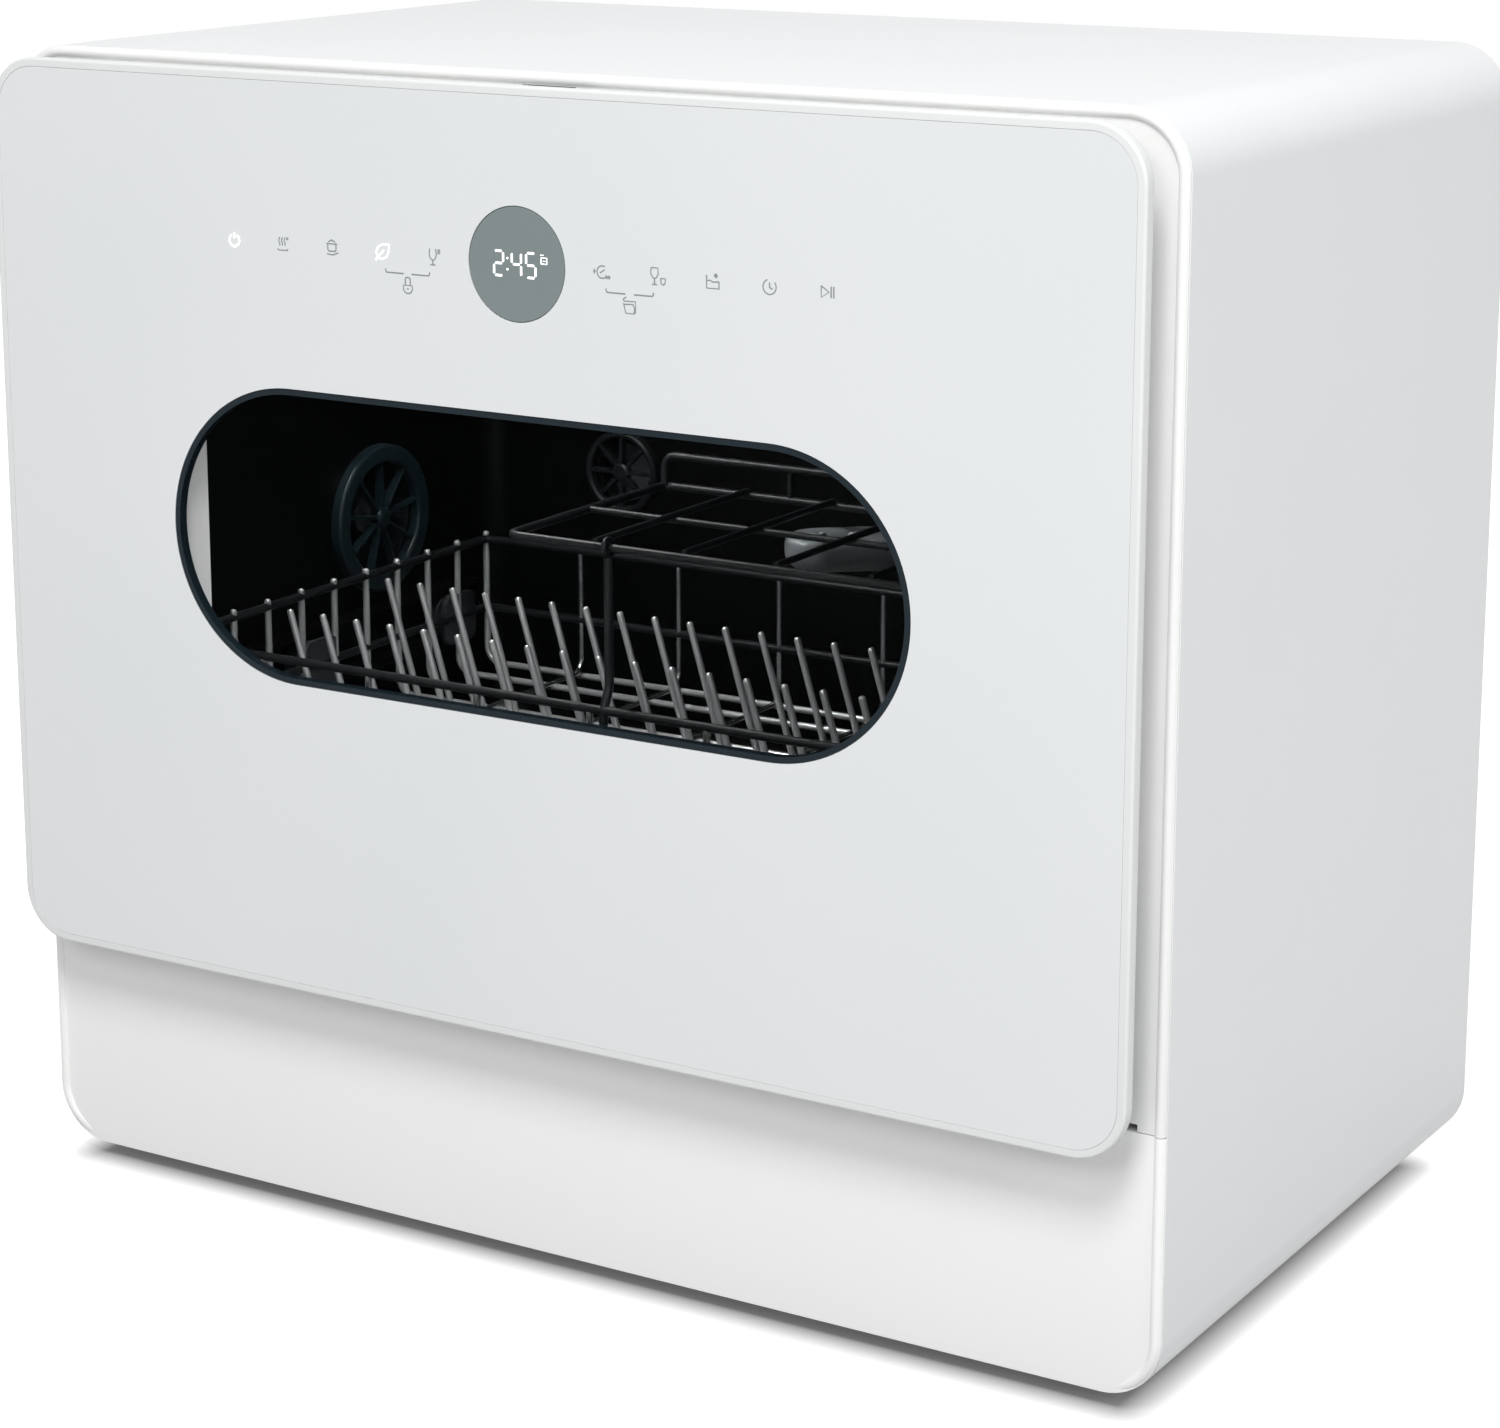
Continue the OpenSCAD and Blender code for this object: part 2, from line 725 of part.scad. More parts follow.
module power_board() color("#2f5d46") {
  board_x = 96;
  board_y = 86;
  box_h = 12;
  x0 = -ear_x + ear_foot + 3.6;
  y0 = face_y + 24;
  top = tray_top + box_h + 1.6;
  box([x0, y0, tray_top], [x0 + board_x, y0 + board_y, tray_top + box_h]);
  box([x0 + 4, y0 + 4, tray_top + box_h - eps], [x0 + board_x - 4, y0 + board_y - 4, top]);
  // Relays and a capacitor
  for (i = [0:3]) box([x0 + 12 + i * 20, y0 + 12, top - eps], [x0 + 24 + i * 20, y0 + 40, top + 18.4]);
  bar_z(x0 + 26, y0 + 62, top - eps, top + 26.4, 9);
}

module cord_gland() color("#232425") {
  bar_y(gland_x, panel_y - 10, panel_y + panel_t + eps, gland_z, gland_r);
  bar_y(gland_x, panel_y + panel_t, rear_y, gland_z, gland_r + 3);
  bar_y(gland_x, panel_y - 6, panel_y, gland_z, gland_r + 2.5);
}

module rear_screws() color("#9b9ea0") {
  for (p = screw_places()) {
    bar_y(p[0], panel_y - 8, panel_y + panel_t + eps, p[1], screw_r);
    bar_y(p[0], panel_y + panel_t, rear_y - 0.2, p[1], 3.2);
  }
}

// Hinge and latch

module hinge_brackets() color("#3e4144") {
  both_sides() {
    difference() {
      side(ear_x, ear_x + ear_w) {
        translate([hinge_y, hinge_z]) circle(knuckle_r);
        rect(hinge_y, plinth_z + 0.4, ear_back, hinge_z + 3);
        rect(face_y + 14, tray_top, ear_back, hinge_z + 3);
      }
      bar_x(ear_x - 1, ear_x + ear_w + 1, hinge_y, hinge_z, pin_r + run);
    }
    box([ear_x - ear_foot, face_y + 16, tray_top], [ear_x + ear_w, ear_back, tray_top + 2.5]);
  }
}

module hinge_pins() color("#b9bcbe") {
  both_sides() {
    bar_x(arm_x + gap, ear_x + ear_w + 0.4, hinge_y, hinge_z, pin_r);
    bar_x(ear_x + ear_w + 0.4 - eps, ear_x + ear_w + 1.6, hinge_y, hinge_z, knuckle_r);
  }
}

module hinge_arms() color("#55595c") {
  both_sides() difference() {
    side(arm_x, arm_x + arm_w) {
      translate([hinge_y, hinge_z]) circle(knuckle_r);
      rect(hinge_y - knuckle_r, hinge_z, hinge_y + 7.5, hinge_z + 76);
    }
    bar_x(arm_x - 1, arm_x + arm_w + 1, hinge_y, hinge_z, pin_r + run);
  }
}

module latch_housing() color("#44484a") {
  difference() {
    box([-hook_x - 7, face_y + 10 + gap, tub_z1 + tub_t], [pusher_x + 12, latch_back, top_z - sheet_t - 0.5]);
    box([-hook_x - 3, face_y, liner_z1 - 1.2], [hook_x + 3, latch_back - 6, liner_z1 + 8.3]);
    bar_y(pusher_x, face_y, latch_back + 1, pusher_z, pusher_r + run);
  }
}

module latch_hook() color("#c9ccce") {
  top = liner_z1 + hook_t;
  box([-hook_x, slab_y + 1, liner_z1], [hook_x, hook_y, top]);
  box([-hook_x, hook_y - 4, top - eps], [hook_x, hook_y, top + 3]);
}

module open_pusher() color("#d7dadb") {
  bar_y(pusher_x, slab_y + gap, latch_back - 7, pusher_z, pusher_r);
}

// Door

module door_outline(inset) {
  rounded(-door_x + inset, door_z0 + inset, door_x - inset, door_z1 - inset, door_r - inset);
}

module tunnel_outline(out) {
  rounded(-tunnel_x - out, window_z - tunnel_h - out, tunnel_x + out, window_z + tunnel_h + out, 4 + out);
}

module door_frame() color("#f2f3f3") {
  difference() {
    slab(front_y, slab_y) door_outline(0);
    slab(front_y - 1, front_y + glass_t + snug) door_outline(lip_w);
    slab(front_y, slab_y + 1) {
      tunnel_outline(0);
      translate([0, keys_z]) circle(display_d / 2 - 1);
    }
  }
}

module door_glass() color("#e4e6e7") {
  slab(front_y, front_y + glass_t) difference() {
    door_outline(lip_w + 0.2);
    translate([0, window_z]) stadium(window_w, window_h);
    translate([0, keys_z]) circle(display_d / 2);
  }
}

module window_pane() color([0.12, 0.16, 0.18, 0.45]) {
  slab(front_y, front_y + glass_t) translate([0, window_z]) stadium(window_w - 0.4, window_h - 0.4);
}

module display_lens() color("#808d8e") {
  slab(front_y, front_y + glass_t) translate([0, keys_z]) circle(display_d / 2 - 0.2);
}

module touch_board() color("#2f5d46") {
  slab(slab_y + snug, slab_y + board_t) difference() {
    rect(-board_w / 2, keys_z - display_d / 2, board_w / 2, keys_z + 14);
    translate([0, keys_z]) circle(display_d / 2 - 1);
  }
}

module display_module() color("#202224") {
  w = display_d / 2 + 6;
  h = display_d / 2;
  slab(slab_y + board_t, slab_y + 7) rect(-w, keys_z - h, w, keys_z + h);
}

module door_liner() color("#eceeee") {
  // Body of the inner door behind the slab
  slab(liner_y, face_y - 2) difference() {
    liner_outline(0);
    liner_outline(liner_t);
  }
  slab(face_y - 2 - liner_t, face_y - 2) difference() {
    liner_outline(0);
    plug_outline(liner_t);
  }
  // Rib that presses on the gasket
  slab(face_y - 2 - eps, face_y + 0.7) difference() {
    rounded(-liner_x, tub_z0 + 1.5, liner_x, tub_z1 - 1.5, tub_r - 1.5);
    plug_outline(liner_t);
  }
  // Raised plug that closes the tub's mouth
  slab(face_y - 2 - liner_t, plug_y) difference() {
    plug_outline(0);
    plug_outline(liner_t);
  }
  difference() {
    slab(plug_y - liner_t, plug_y) plug_outline(0);
    slab(plug_y - 20, plug_y + 5) {
      pane_outline(0);
      rect(disp_x0, disp_z0, disp_x1, disp_z1);
    }
  }
  // Seat of the inner pane, and the tunnel from it to the outer glass
  slab(plug_y - rabbet, plug_y) difference() {
    pane_outline(liner_t);
    pane_outline(0);
  }
  slab(plug_y - rabbet, plug_y - rabbet + liner_t) difference() {
    pane_outline(liner_t);
    tunnel_outline(0);
  }
  slab(liner_y, plug_y - rabbet + liner_t) difference() {
    tunnel_outline(liner_t);
    tunnel_outline(0);
  }
}

module liner_outline(inset) {
  rounded(-liner_x + inset, liner_z0 + inset, liner_x - inset, liner_z1 - inset, 14 - inset);
}

module plug_outline(inset) {
  rounded(-plug_x + inset, plug_z0 + inset, plug_x - inset, plug_z1 - inset, 12 - inset);
}

module inner_pane() color([0.8, 0.85, 0.86, 0.35]) {
  y = plug_y - rabbet + liner_t + 0.2;
  slab(y, y + pane_t) pane_outline(-3);
}

module pane_seal() color("#2f3234") {
  slab(plug_y - rabbet + liner_t, plug_y) difference() {
    pane_outline(0);
    pane_outline(-3 + snug / 2);
  }
}

module dispenser_body() color("#dcdedf") {
  difference() {
    union() {
      slab(disp_y - 15, disp_y)
        rect(disp_x0 + gap, disp_z0 + gap, disp_x1 - gap, disp_z1 - gap);
      // Guides of the sliding lid
      for (z = [cup_z0 - 5, cup_z1 + 2.3])
        slab(disp_y - eps, disp_y + 2) rect(cup_x - lid_travel - 4, z, cup_x + cup_w + 6, z + 2.7);
    }
    slab(disp_y - 12, disp_y + 3) rect(cup_x, cup_z0, cup_x + cup_w, cup_z1);
    bar_y(rinse_x, disp_y - 6, disp_y + 3, (disp_z0 + disp_z1) / 2, rinse_r + gap);
    bar_y(rinse_x, disp_y - 12, disp_y, (disp_z0 + disp_z1) / 2, 7 + run);
  }
}

module dispenser_lid() color("#9da1a4") {
  slab(disp_y + gap, disp_y + 2) rect(cup_x - 4, cup_z0 - 2, cup_x + cup_w + 4, cup_z1 + 2);
  slab(disp_y + 2 - eps, disp_y + 2.6) rect(cup_x + cup_w - 6, cup_z0 + 6, cup_x + cup_w, cup_z1 - 6);
}

module rinse_cap() color("#5f93b5") {
  z = (disp_z0 + disp_z1) / 2;
  bar_y(rinse_x, disp_y - 5.7, disp_y - 1, z, rinse_r);
  bar_y(rinse_x, disp_y - 11.5, disp_y - 5.7 + eps, z, 7);
  box([rinse_x - 8, disp_y - 1 - eps, z - 1.5], [rinse_x + 8, disp_y + 1.5, z + 1.5]);
}

// Rack

// Places of the thin wires across the machine and from front to back
function wires_x() = [for (i = [0:bays_x]) -rack_x + i * 2 * rack_x / bays_x];
function wires_y() = [for (i = [0:bays_y]) rack_y0 + i * (rack_y1 - rack_y0) / bays_y];

module rack_floor() color("#a9acae") {
  for (y = wires_y()) bar_x(-rack_x, rack_x, y, rack_z, wire_r);
  for (x = wires_x()) bar_y(x, rack_y0, rack_y1, rack_z + wire_r, thin_r);
}

// Upright wires between the floor and the top wire, along X at one Y plane
module rack_wall_x(y) {
  for (z = [rack_top, rack_z + rack_h * 0.45]) bar_x(-rack_x, rack_x, y, z, wire_r);
  for (x = wires_x()) bar_z(x, y, rack_z, rack_top, thin_r);
}

// Post with an eye that holds the cup shelf's front wire
module shelf_post(x) {
  bar_z(x, shelf_y, rack_top - 3, shelf_z - 3, wire_r);
  bar_y(x, rack_y0, shelf_y, rack_top, thin_r);
  difference() {
    bar_x(x - 2, x + 2, shelf_y, shelf_z, 4.2);
    bar_x(x - 3, x + 3, shelf_y, shelf_z, shelf_r + run);
  }
}

module rack_front() color("#a9acae") {
  rack_wall_x(rack_y0);
  for (x = [shelf_x0 + 45, shelf_x1 - 8]) shelf_post(x);
}

module rack_rear() color("#a9acae") {
  rack_wall_x(rack_y1);
}

// Side wall, whose uprights end above its top wire, with the brackets and axles of its two rollers
module rack_side() {
  for (z = [rack_top, rack_z + rack_h * 0.45]) bar_y(rack_x, rack_y0, rack_y1, z, wire_r);
  for (y = wires_y()) bar_z(rack_x, y, rack_z, rack_top + 3.4, thin_r);
  for (y = [roller_front, roller_rear]) {
    box([rack_x - 1.2, y - 11, roller_z - 11], [rack_x + 1.3, y + 11, roller_z + 11]);
    bar_x(rack_x + 1, roller_x - gap, y, roller_z, axle_r + 2);
    bar_x(rack_x, roller_x + roller_w + gap + 1, y, roller_z, axle_r);
    bar_x(roller_x + roller_w + gap, roller_x + roller_w + gap + 1.2, y, roller_z, axle_r + 1.5);
  }
}

module rack_right() color("#a9acae") rack_side();
module rack_left() color("#a9acae") mirror([1, 0, 0]) rack_side();

module roller() {
  difference() {
    bar_x(roller_x, roller_x + roller_w, 0, 0, roller_r);
    bar_x(roller_x - 1, roller_x + roller_w + 1, 0, 0, axle_r + run);
  }
}

module front_rollers() color("#6e7274") translate([0, roller_front, roller_z]) both_sides() roller();
module rear_rollers() color("#6e7274") translate([0, roller_rear, roller_z]) both_sides() roller();

// Two rows of tines that lean to the left, on the third and the sixth bay of the floor
module rack_tines() color("#c2c5c7") {
  count = floor((2 * rack_x - tine_side - tine_end) / tine_pitch);
  for (y = [wires_y()[3], wires_y()[6]], i = [0:count])
    translate([-rack_x + tine_side + i * tine_pitch, y, rack_z])
      rotate([0, -tine_lean, 0]) cylinder(r = tine_r, h = tine_l);
}

// Fold-up shelf for cups over the front half of the rack
module cup_shelf() color("#8f9395") {
  bar_x(shelf_x0, shelf_x1, shelf_y, shelf_z, shelf_r);
  for (i = [0:6]) {
    x = shelf_x0 + 1.6 + i * (shelf_x1 - shelf_x0 - 3.2) / 6;
    bar_y(x, shelf_y, shelf_y + shelf_d, shelf_z + shelf_r, fill_r);
  }
  bar_x(shelf_x0, shelf_x1, shelf_y + shelf_d, shelf_z, shelf_r);
  bar_x(shelf_x0, shelf_x1, shelf_y + shelf_d / 2, shelf_z, fill_r);
  // Lip that keeps cups on the shelf
  for (i = [0:4]) {
    x = shelf_x0 + 2 + i * (shelf_x1 - shelf_x0 - 4) / 4;
    bar_z(x, shelf_y + shelf_d, shelf_z, shelf_z + lip_h, fill_r);
  }
  bar_x(shelf_x0, shelf_x1, shelf_y + shelf_d, shelf_z + lip_h, shelf_r);
}

case_wrap();
front_bezel();
plinth_panel();
rear_panel();
base_tray();
feet();
tub();
door_gasket();
rack_rails();
sump();
filter_plate();
hub_post();
wash_pump();
drain_pump();
water_heater();
feed_pipe();
circulation_hose();
drain_spigot();
inlet_valve();
softener_tank();
vent_grille();
breather_cover();
fan_housing();
power_board();
hinge_brackets();
hinge_pins();
latch_housing();
rear_screws();
cord_gland();
door_frame();
door_glass();
window_pane();
inner_pane();
pane_seal();
door_liner();
display_lens();
display_module();
touch_board();
hinge_arms();
dispenser_body();
latch_hook();
dispenser_lid();
rinse_cap();
open_pusher();
lower_spray_arm();
upper_spray_arm();
filter_cup();
salt_cap();
fan_impeller();
rack_floor();
rack_front();
rack_rear();
rack_left();
rack_right();
rack_tines();
cup_shelf();
front_rollers();
rear_rollers();
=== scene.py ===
# %% [markdown]
# # A countertop dishwasher
# This lesson builds the looks of a small dishwasher around its CAD frame. The frame gives every
# size: a piece is placed by the corner values of the CAD node that it dresses, so it fits without
# measuring anything twice. All lengths are in metres, X is to the right, the door faces -Y, Z is up.

# %% The frame
import json
import math

import bpy
from mathutils import Matrix, Vector

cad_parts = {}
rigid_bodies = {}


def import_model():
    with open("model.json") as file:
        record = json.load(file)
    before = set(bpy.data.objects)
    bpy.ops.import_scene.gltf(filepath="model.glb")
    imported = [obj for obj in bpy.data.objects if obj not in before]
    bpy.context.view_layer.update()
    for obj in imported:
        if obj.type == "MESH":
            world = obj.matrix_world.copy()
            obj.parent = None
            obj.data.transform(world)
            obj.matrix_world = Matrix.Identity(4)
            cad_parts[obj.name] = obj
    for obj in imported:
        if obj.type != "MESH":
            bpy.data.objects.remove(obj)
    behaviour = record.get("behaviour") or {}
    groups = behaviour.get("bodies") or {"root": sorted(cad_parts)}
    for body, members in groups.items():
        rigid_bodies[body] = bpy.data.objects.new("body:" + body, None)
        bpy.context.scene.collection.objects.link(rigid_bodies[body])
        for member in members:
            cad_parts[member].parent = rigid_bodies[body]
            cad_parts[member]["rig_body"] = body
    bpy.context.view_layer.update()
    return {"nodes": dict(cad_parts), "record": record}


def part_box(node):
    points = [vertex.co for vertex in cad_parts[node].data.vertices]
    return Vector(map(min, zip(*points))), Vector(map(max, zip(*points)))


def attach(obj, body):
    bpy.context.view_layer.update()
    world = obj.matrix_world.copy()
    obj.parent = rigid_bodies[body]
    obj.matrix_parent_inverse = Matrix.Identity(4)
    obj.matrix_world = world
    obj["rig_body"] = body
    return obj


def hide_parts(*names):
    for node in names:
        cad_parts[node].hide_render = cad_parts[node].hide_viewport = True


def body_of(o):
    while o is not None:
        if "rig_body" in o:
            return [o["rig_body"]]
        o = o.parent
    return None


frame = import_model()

MM = 0.001
print("CAD nodes:", len(frame["nodes"]))

# %% [markdown]
# ## Tools for modelling
# An operator acts on whatever is selected, so each step starts by selecting one object and then
# the faces or edges that it works on. They are picked by their place, as a hand would pick them.

# %% Selecting
def take(piece):
    """Makes one object the only selected one."""
    if bpy.context.object and bpy.context.object.mode != "OBJECT":
        bpy.ops.object.mode_set(mode="OBJECT")
    bpy.ops.object.select_all(action="DESELECT")
    piece.select_set(True)
    bpy.context.view_layer.objects.active = piece


def open_faces(piece, test):
    """Opens edit mode with the faces selected whose centre and normal pass the test."""
    take(piece)
    bpy.ops.object.mode_set(mode="EDIT")
    bpy.ops.mesh.select_mode(type="FACE")
    bpy.ops.mesh.select_all(action="DESELECT")
    bpy.ops.object.mode_set(mode="OBJECT")
    for face in piece.data.polygons:
        face.select = bool(test(face.center, face.normal))
    bpy.ops.object.mode_set(mode="EDIT")


def open_edges(piece, test):
    """Opens edit mode with the edges selected whose two ends pass the test."""
    take(piece)
    bpy.ops.object.mode_set(mode="EDIT")
    bpy.ops.mesh.select_mode(type="EDGE")
    bpy.ops.mesh.select_all(action="DESELECT")
    bpy.ops.object.mode_set(mode="OBJECT")
    points = piece.data.vertices
    for edge in piece.data.edges:
        edge.select = bool(test(points[edge.vertices[0]].co, points[edge.vertices[1]].co))
    bpy.ops.object.mode_set(mode="EDIT")


def close():
    bpy.ops.object.mode_set(mode="OBJECT")
    return bpy.context.object


# %% [markdown]
# Most of this machine is boxes with rounded corners, turned rounds and bent wire. A box starts as
# a cube, and its long edges are bevelled into arcs. A round is an outline spun about its axis. A
# wire is a ring of points, extruded along its straight runs and spun round its bends.

# %% Primitives
def settle(name):
    """Names the new object and puts its place, turn and size into its mesh."""
    piece = bpy.context.object
    piece.name = name
    piece.data.name = name
    bpy.ops.object.transform_apply(location=True, rotation=True, scale=True)
    return piece


def block(name, low, high):
    """A box between two corners."""
    low, high = Vector(low), Vector(high)
    bpy.ops.object.select_all(action="DESELECT")
    bpy.ops.mesh.primitive_cube_add(size=1, location=(low + high) / 2)
    bpy.context.object.scale = high - low
    return settle(name)


def round_along(piece, axis, radius, steps=12, where=None):
    """Bevels the edges that run along one axis into arcs."""
    other = [i for i in range(3) if i != axis]

    def test(a, b):
        runs = all(abs(a[i] - b[i]) < 1e-6 for i in other) and abs(a[axis] - b[axis]) > 1e-6
        return runs and (where is None or where((a + b) / 2))

    open_edges(piece, test)
    bpy.ops.mesh.bevel(offset=radius, offset_type="OFFSET", segments=steps, profile=0.5)
    return close()


def slab(name, low, high, radius, steps=12, where=None):
    """A box with the edges along Y rounded, such as a panel seen from the front."""
    return round_along(block(name, low, high), 1, radius, steps, where)


def path_to(piece_name, start, steps_along):
    """Starts a mesh at one point; steps_along moves it on by extrusion."""
    bpy.ops.object.select_all(action="DESELECT")
    bpy.ops.mesh.primitive_plane_add(size=1, location=start)
    piece = settle(piece_name)
    bpy.ops.object.mode_set(mode="EDIT")
    bpy.ops.mesh.select_mode(type="VERT")
    bpy.ops.mesh.select_all(action="SELECT")
    bpy.ops.mesh.merge(type="CENTER")
    place = Vector(start)
    for point in steps_along:
        bpy.ops.mesh.extrude_vertices_move(TRANSFORM_OT_translate={"value": Vector(point) - place})
        place = Vector(point)
    return piece


def turned(name, outline, origin, axis, steps=48):
    """Spins an outline of (radius, height) pairs about an axis through the origin."""
    axis, origin = Vector(axis).normalized(), Vector(origin)
    side = axis.orthogonal().normalized()
    points = [origin + side * r + axis * h for r, h in outline]
    piece = path_to(name, points[0], points[1:])
    bpy.ops.mesh.select_all(action="SELECT")
    bpy.ops.mesh.spin(steps=steps, angle=math.tau, center=origin, axis=axis)
    bpy.ops.mesh.select_all(action="SELECT")
    bpy.ops.mesh.remove_doubles(threshold=1e-6)
    bpy.ops.mesh.normals_make_consistent(inside=False)
    return close()


def swept(name, section, points, bend, steps=8):
    """Sweeps the open ring object named section along straight runs with round corners."""
    take(section)
    section.name = name
    section.data.name = name
    points = [Vector(p) for p in points]
    bpy.ops.object.mode_set(mode="EDIT")
    bpy.ops.mesh.select_mode(type="EDGE")
    bpy.ops.mesh.select_all(action="SELECT")
    place = points[0]
    for i in range(1, len(points)):
        ahead = (points[i] - points[i - 1]).normalized()
        trim = turn = 0.0
        if i + 1 < len(points):
            then = (points[i + 1] - points[i]).normalized()
            turn = ahead.angle(then)
            trim = bend * math.tan(turn / 2)
        end = points[i] - ahead * trim
        if (end - place).length > 1e-7:
            bpy.ops.mesh.extrude_edges_move(TRANSFORM_OT_translate={"value": end - place})
        place = end
        if turn > 1e-4:
            inward = (then - ahead * ahead.dot(then)).normalized()
            bpy.ops.mesh.spin(steps=steps, angle=-turn, center=end + inward * bend, axis=ahead.cross(then).normalized())
            place = points[i] + then * trim
    bpy.ops.mesh.select_all(action="DESELECT")
    bpy.ops.mesh.select_non_manifold()
    bpy.ops.mesh.fill_holes(sides=0)
    bpy.ops.mesh.select_all(action="SELECT")
    bpy.ops.mesh.normals_make_consistent(inside=False)
    return close()


def wire(name, points, radius, bend=0.0, sides=12, steps=5, tip=0.0):
    """A round wire along straight runs; tip rounds its cut ends."""
    points = [Vector(p) for p in points]
    ahead = (points[1] - points[0]).normalized()
    bpy.ops.object.select_all(action="DESELECT")
    bpy.ops.mesh.primitive_circle_add(vertices=sides, radius=radius, fill_type="NOTHING", location=points[0],
                                      rotation=ahead.to_track_quat("Z", "Y").to_euler())
    piece = swept(name, settle(name), points, max(bend, 1e-6), steps)
    if tip:
        open_faces(piece, lambda c, n: (c - points[0]).length < 1e-5 or (c - points[-1]).length < 1e-5)
        bpy.ops.mesh.bevel(offset=radius * tip, segments=3, profile=0.6, affect="EDGES")
        close()
    return piece


# %% [markdown]
# Moulded and folded pieces never have knife edges. A narrow bevel on every sharp edge catches the
# light, and it is what makes a render look like a made thing. Holes are cut with a Boolean.

# %% Finishing
def apply_all(piece):
    take(piece)
    for modifier in list(piece.modifiers):
        bpy.ops.object.modifier_apply(modifier=modifier.name)
    return piece


def cut(piece, *tools):
    """Takes the tools' shapes out of a piece."""
    for tool in tools:
        modifier = piece.modifiers.new("Cut", "BOOLEAN")
        modifier.operation = "DIFFERENCE"
        modifier.solver = "EXACT"
        modifier.object = tool
        apply_all(piece)
        bpy.data.objects.remove(tool)
    return piece


def wall(piece, thickness, outward=False):
    """Gives a sheet its thickness."""
    modifier = piece.modifiers.new("Wall", "SOLIDIFY")
    modifier.thickness = thickness
    modifier.offset = 1 if outward else -1
    modifier.use_even_offset = True
    return apply_all(piece)


def soften(piece, width, segments=3, angle=30):
    """Bevels the sharp edges and shades the rest smooth."""
    if width:
        modifier = piece.modifiers.new("Edges", "BEVEL")
        modifier.width = width
        modifier.segments = segments
        modifier.limit_method = "ANGLE"
        modifier.angle_limit = math.radians(angle)
        modifier.harden_normals = False
        modifier.miter_outer = "MITER_ARC"
    apply_all(piece)
    bpy.ops.object.shade_smooth_by_angle(angle=math.radians(angle))
    modifier = piece.modifiers.new("Normals", "WEIGHTED_NORMAL")
    modifier.keep_sharp = True
    return apply_all(piece)


def join(name, pieces):
    """Joins several meshes into one piece."""
    take(pieces[0])
    for piece in pieces:
        piece.select_set(True)
    bpy.context.view_layer.objects.active = pieces[0]
    bpy.ops.object.join()
    pieces[0].name = name
    pieces[0].data.name = name
    return pieces[0]


def copied(piece, matrix):
    """A copy with its own mesh, moved in its mesh."""
    twin = piece.copy()
    twin.data = piece.data.copy()
    bpy.context.collection.objects.link(twin)
    twin.data.transform(matrix)
    if matrix.determinant() < 0:
        twin.data.flip_normals()
    return twin


MIRROR_X = Matrix.Scale(-1, 4, (1, 0, 0))


def place(piece, body, material, slot_name=None, *nodes):
    """Dresses a finished piece, lets it ride on its body and hides the nodes it stands for."""
    piece.data.materials.clear()
    piece.data.materials.append(material)
    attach(piece, body)
    if nodes:
        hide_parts(*nodes)
    return piece


# %% [markdown]
# ## Camera, light and floor
# The camera stands where the photographer stood: a little above the machine and to its right,
# with a long lens. The lens is shifted instead of tilted further, so that uprights stay upright.

# %% Camera
CAMERA_PLACE = Vector((0.7188, -1.1807, 0.5517))
CAMERA_TURN = math.radians(31.29)
CAMERA_TILT = math.radians(12.66)
bpy.ops.object.camera_add(location=CAMERA_PLACE, rotation=(math.pi / 2 - CAMERA_TILT, 0, CAMERA_TURN))
camera = bpy.context.object
camera.name = "camera"
camera.data.sensor_width = 36
camera.data.lens = 89.1
camera.data.shift_y = -0.10
camera.data.clip_start = 0.05
camera.data.clip_end = 20
bpy.context.scene.camera = camera
bpy.context.scene.view_settings.view_transform = "Standard"


# %% [markdown]
# ## Materials
# A colour is written as the hex value that an eye sees on a screen, and a renderer works in
# linear light, so one function turns one into the other. Another adds a node with its settings
# and links, and every material below is built from those two.

# %% Material tools
def linear(hex_value):
    """Linear colour of an sRGB hex string such as "e5e7e8"."""
    parts = [int(hex_value[i : i + 2], 16) / 255 for i in (0, 2, 4)]
    return tuple(p / 12.92 if p <= 0.04045 else ((p + 0.055) / 1.055) ** 2.4 for p in parts) + (1.0,)


def add(tree, kind, inputs=None, **settings):
    """Adds a node, sets its properties, and fills or links its inputs."""
    made = tree.nodes.new("ShaderNode" + kind)
    for key, value in settings.items():
        setattr(made, key, value)
    for key, value in (inputs or {}).items():
        if isinstance(value, bpy.types.NodeSocket):
            tree.links.new(value, made.inputs[key])
        else:
            made.inputs[key].default_value = value
    return made


def start_material(name, roughness=0.5, **shader):
    """A material with one shader; returns it with its tree, its shader and its object coordinates."""
    material = bpy.data.materials.new(name)
    material.use_nodes = True
    tree = material.node_tree
    surface = tree.nodes["Principled BSDF"]
    surface.inputs["Roughness"].default_value = roughness
    for key, value in shader.items():
        surface.inputs[key.replace("_", " ")].default_value = value
    return material, tree, surface, add(tree, "TexCoord").outputs["Object"]


def mottle(tree, coords, size_mm, dark, light, detail=3.0):
    """Two close colours mixed in soft patches of about that size."""
    noise = add(tree, "TexNoise", {"Vector": coords, "Scale": 1000 / size_mm, "Detail": detail})
    mix = add(tree, "Mix", {"Factor": noise.outputs["Fac"]}, data_type="RGBA")
    mix.inputs["A"].default_value = linear(dark)
    mix.inputs["B"].default_value = linear(light)
    return mix.outputs["Result"]


def grain(tree, coords, size_mm, height_mm, surface, detail=2.0):
    """A fine bump of about that grain size and height."""
    noise = add(tree, "TexNoise", {"Vector": coords, "Scale": 1000 / size_mm, "Detail": detail})
    bump = add(tree, "Bump", {"Height": noise.outputs["Fac"], "Distance": height_mm * MM, "Strength": 1.0})
    tree.links.new(bump.outputs["Normal"], surface.inputs["Normal"])
    return noise


def spread(tree, value, low, high):
    """Maps a value from 0 to 1 to the range from low to high."""
    return add(tree, "MapRange", {"Value": value, "To Min": low, "To Max": high}).outputs["Result"]


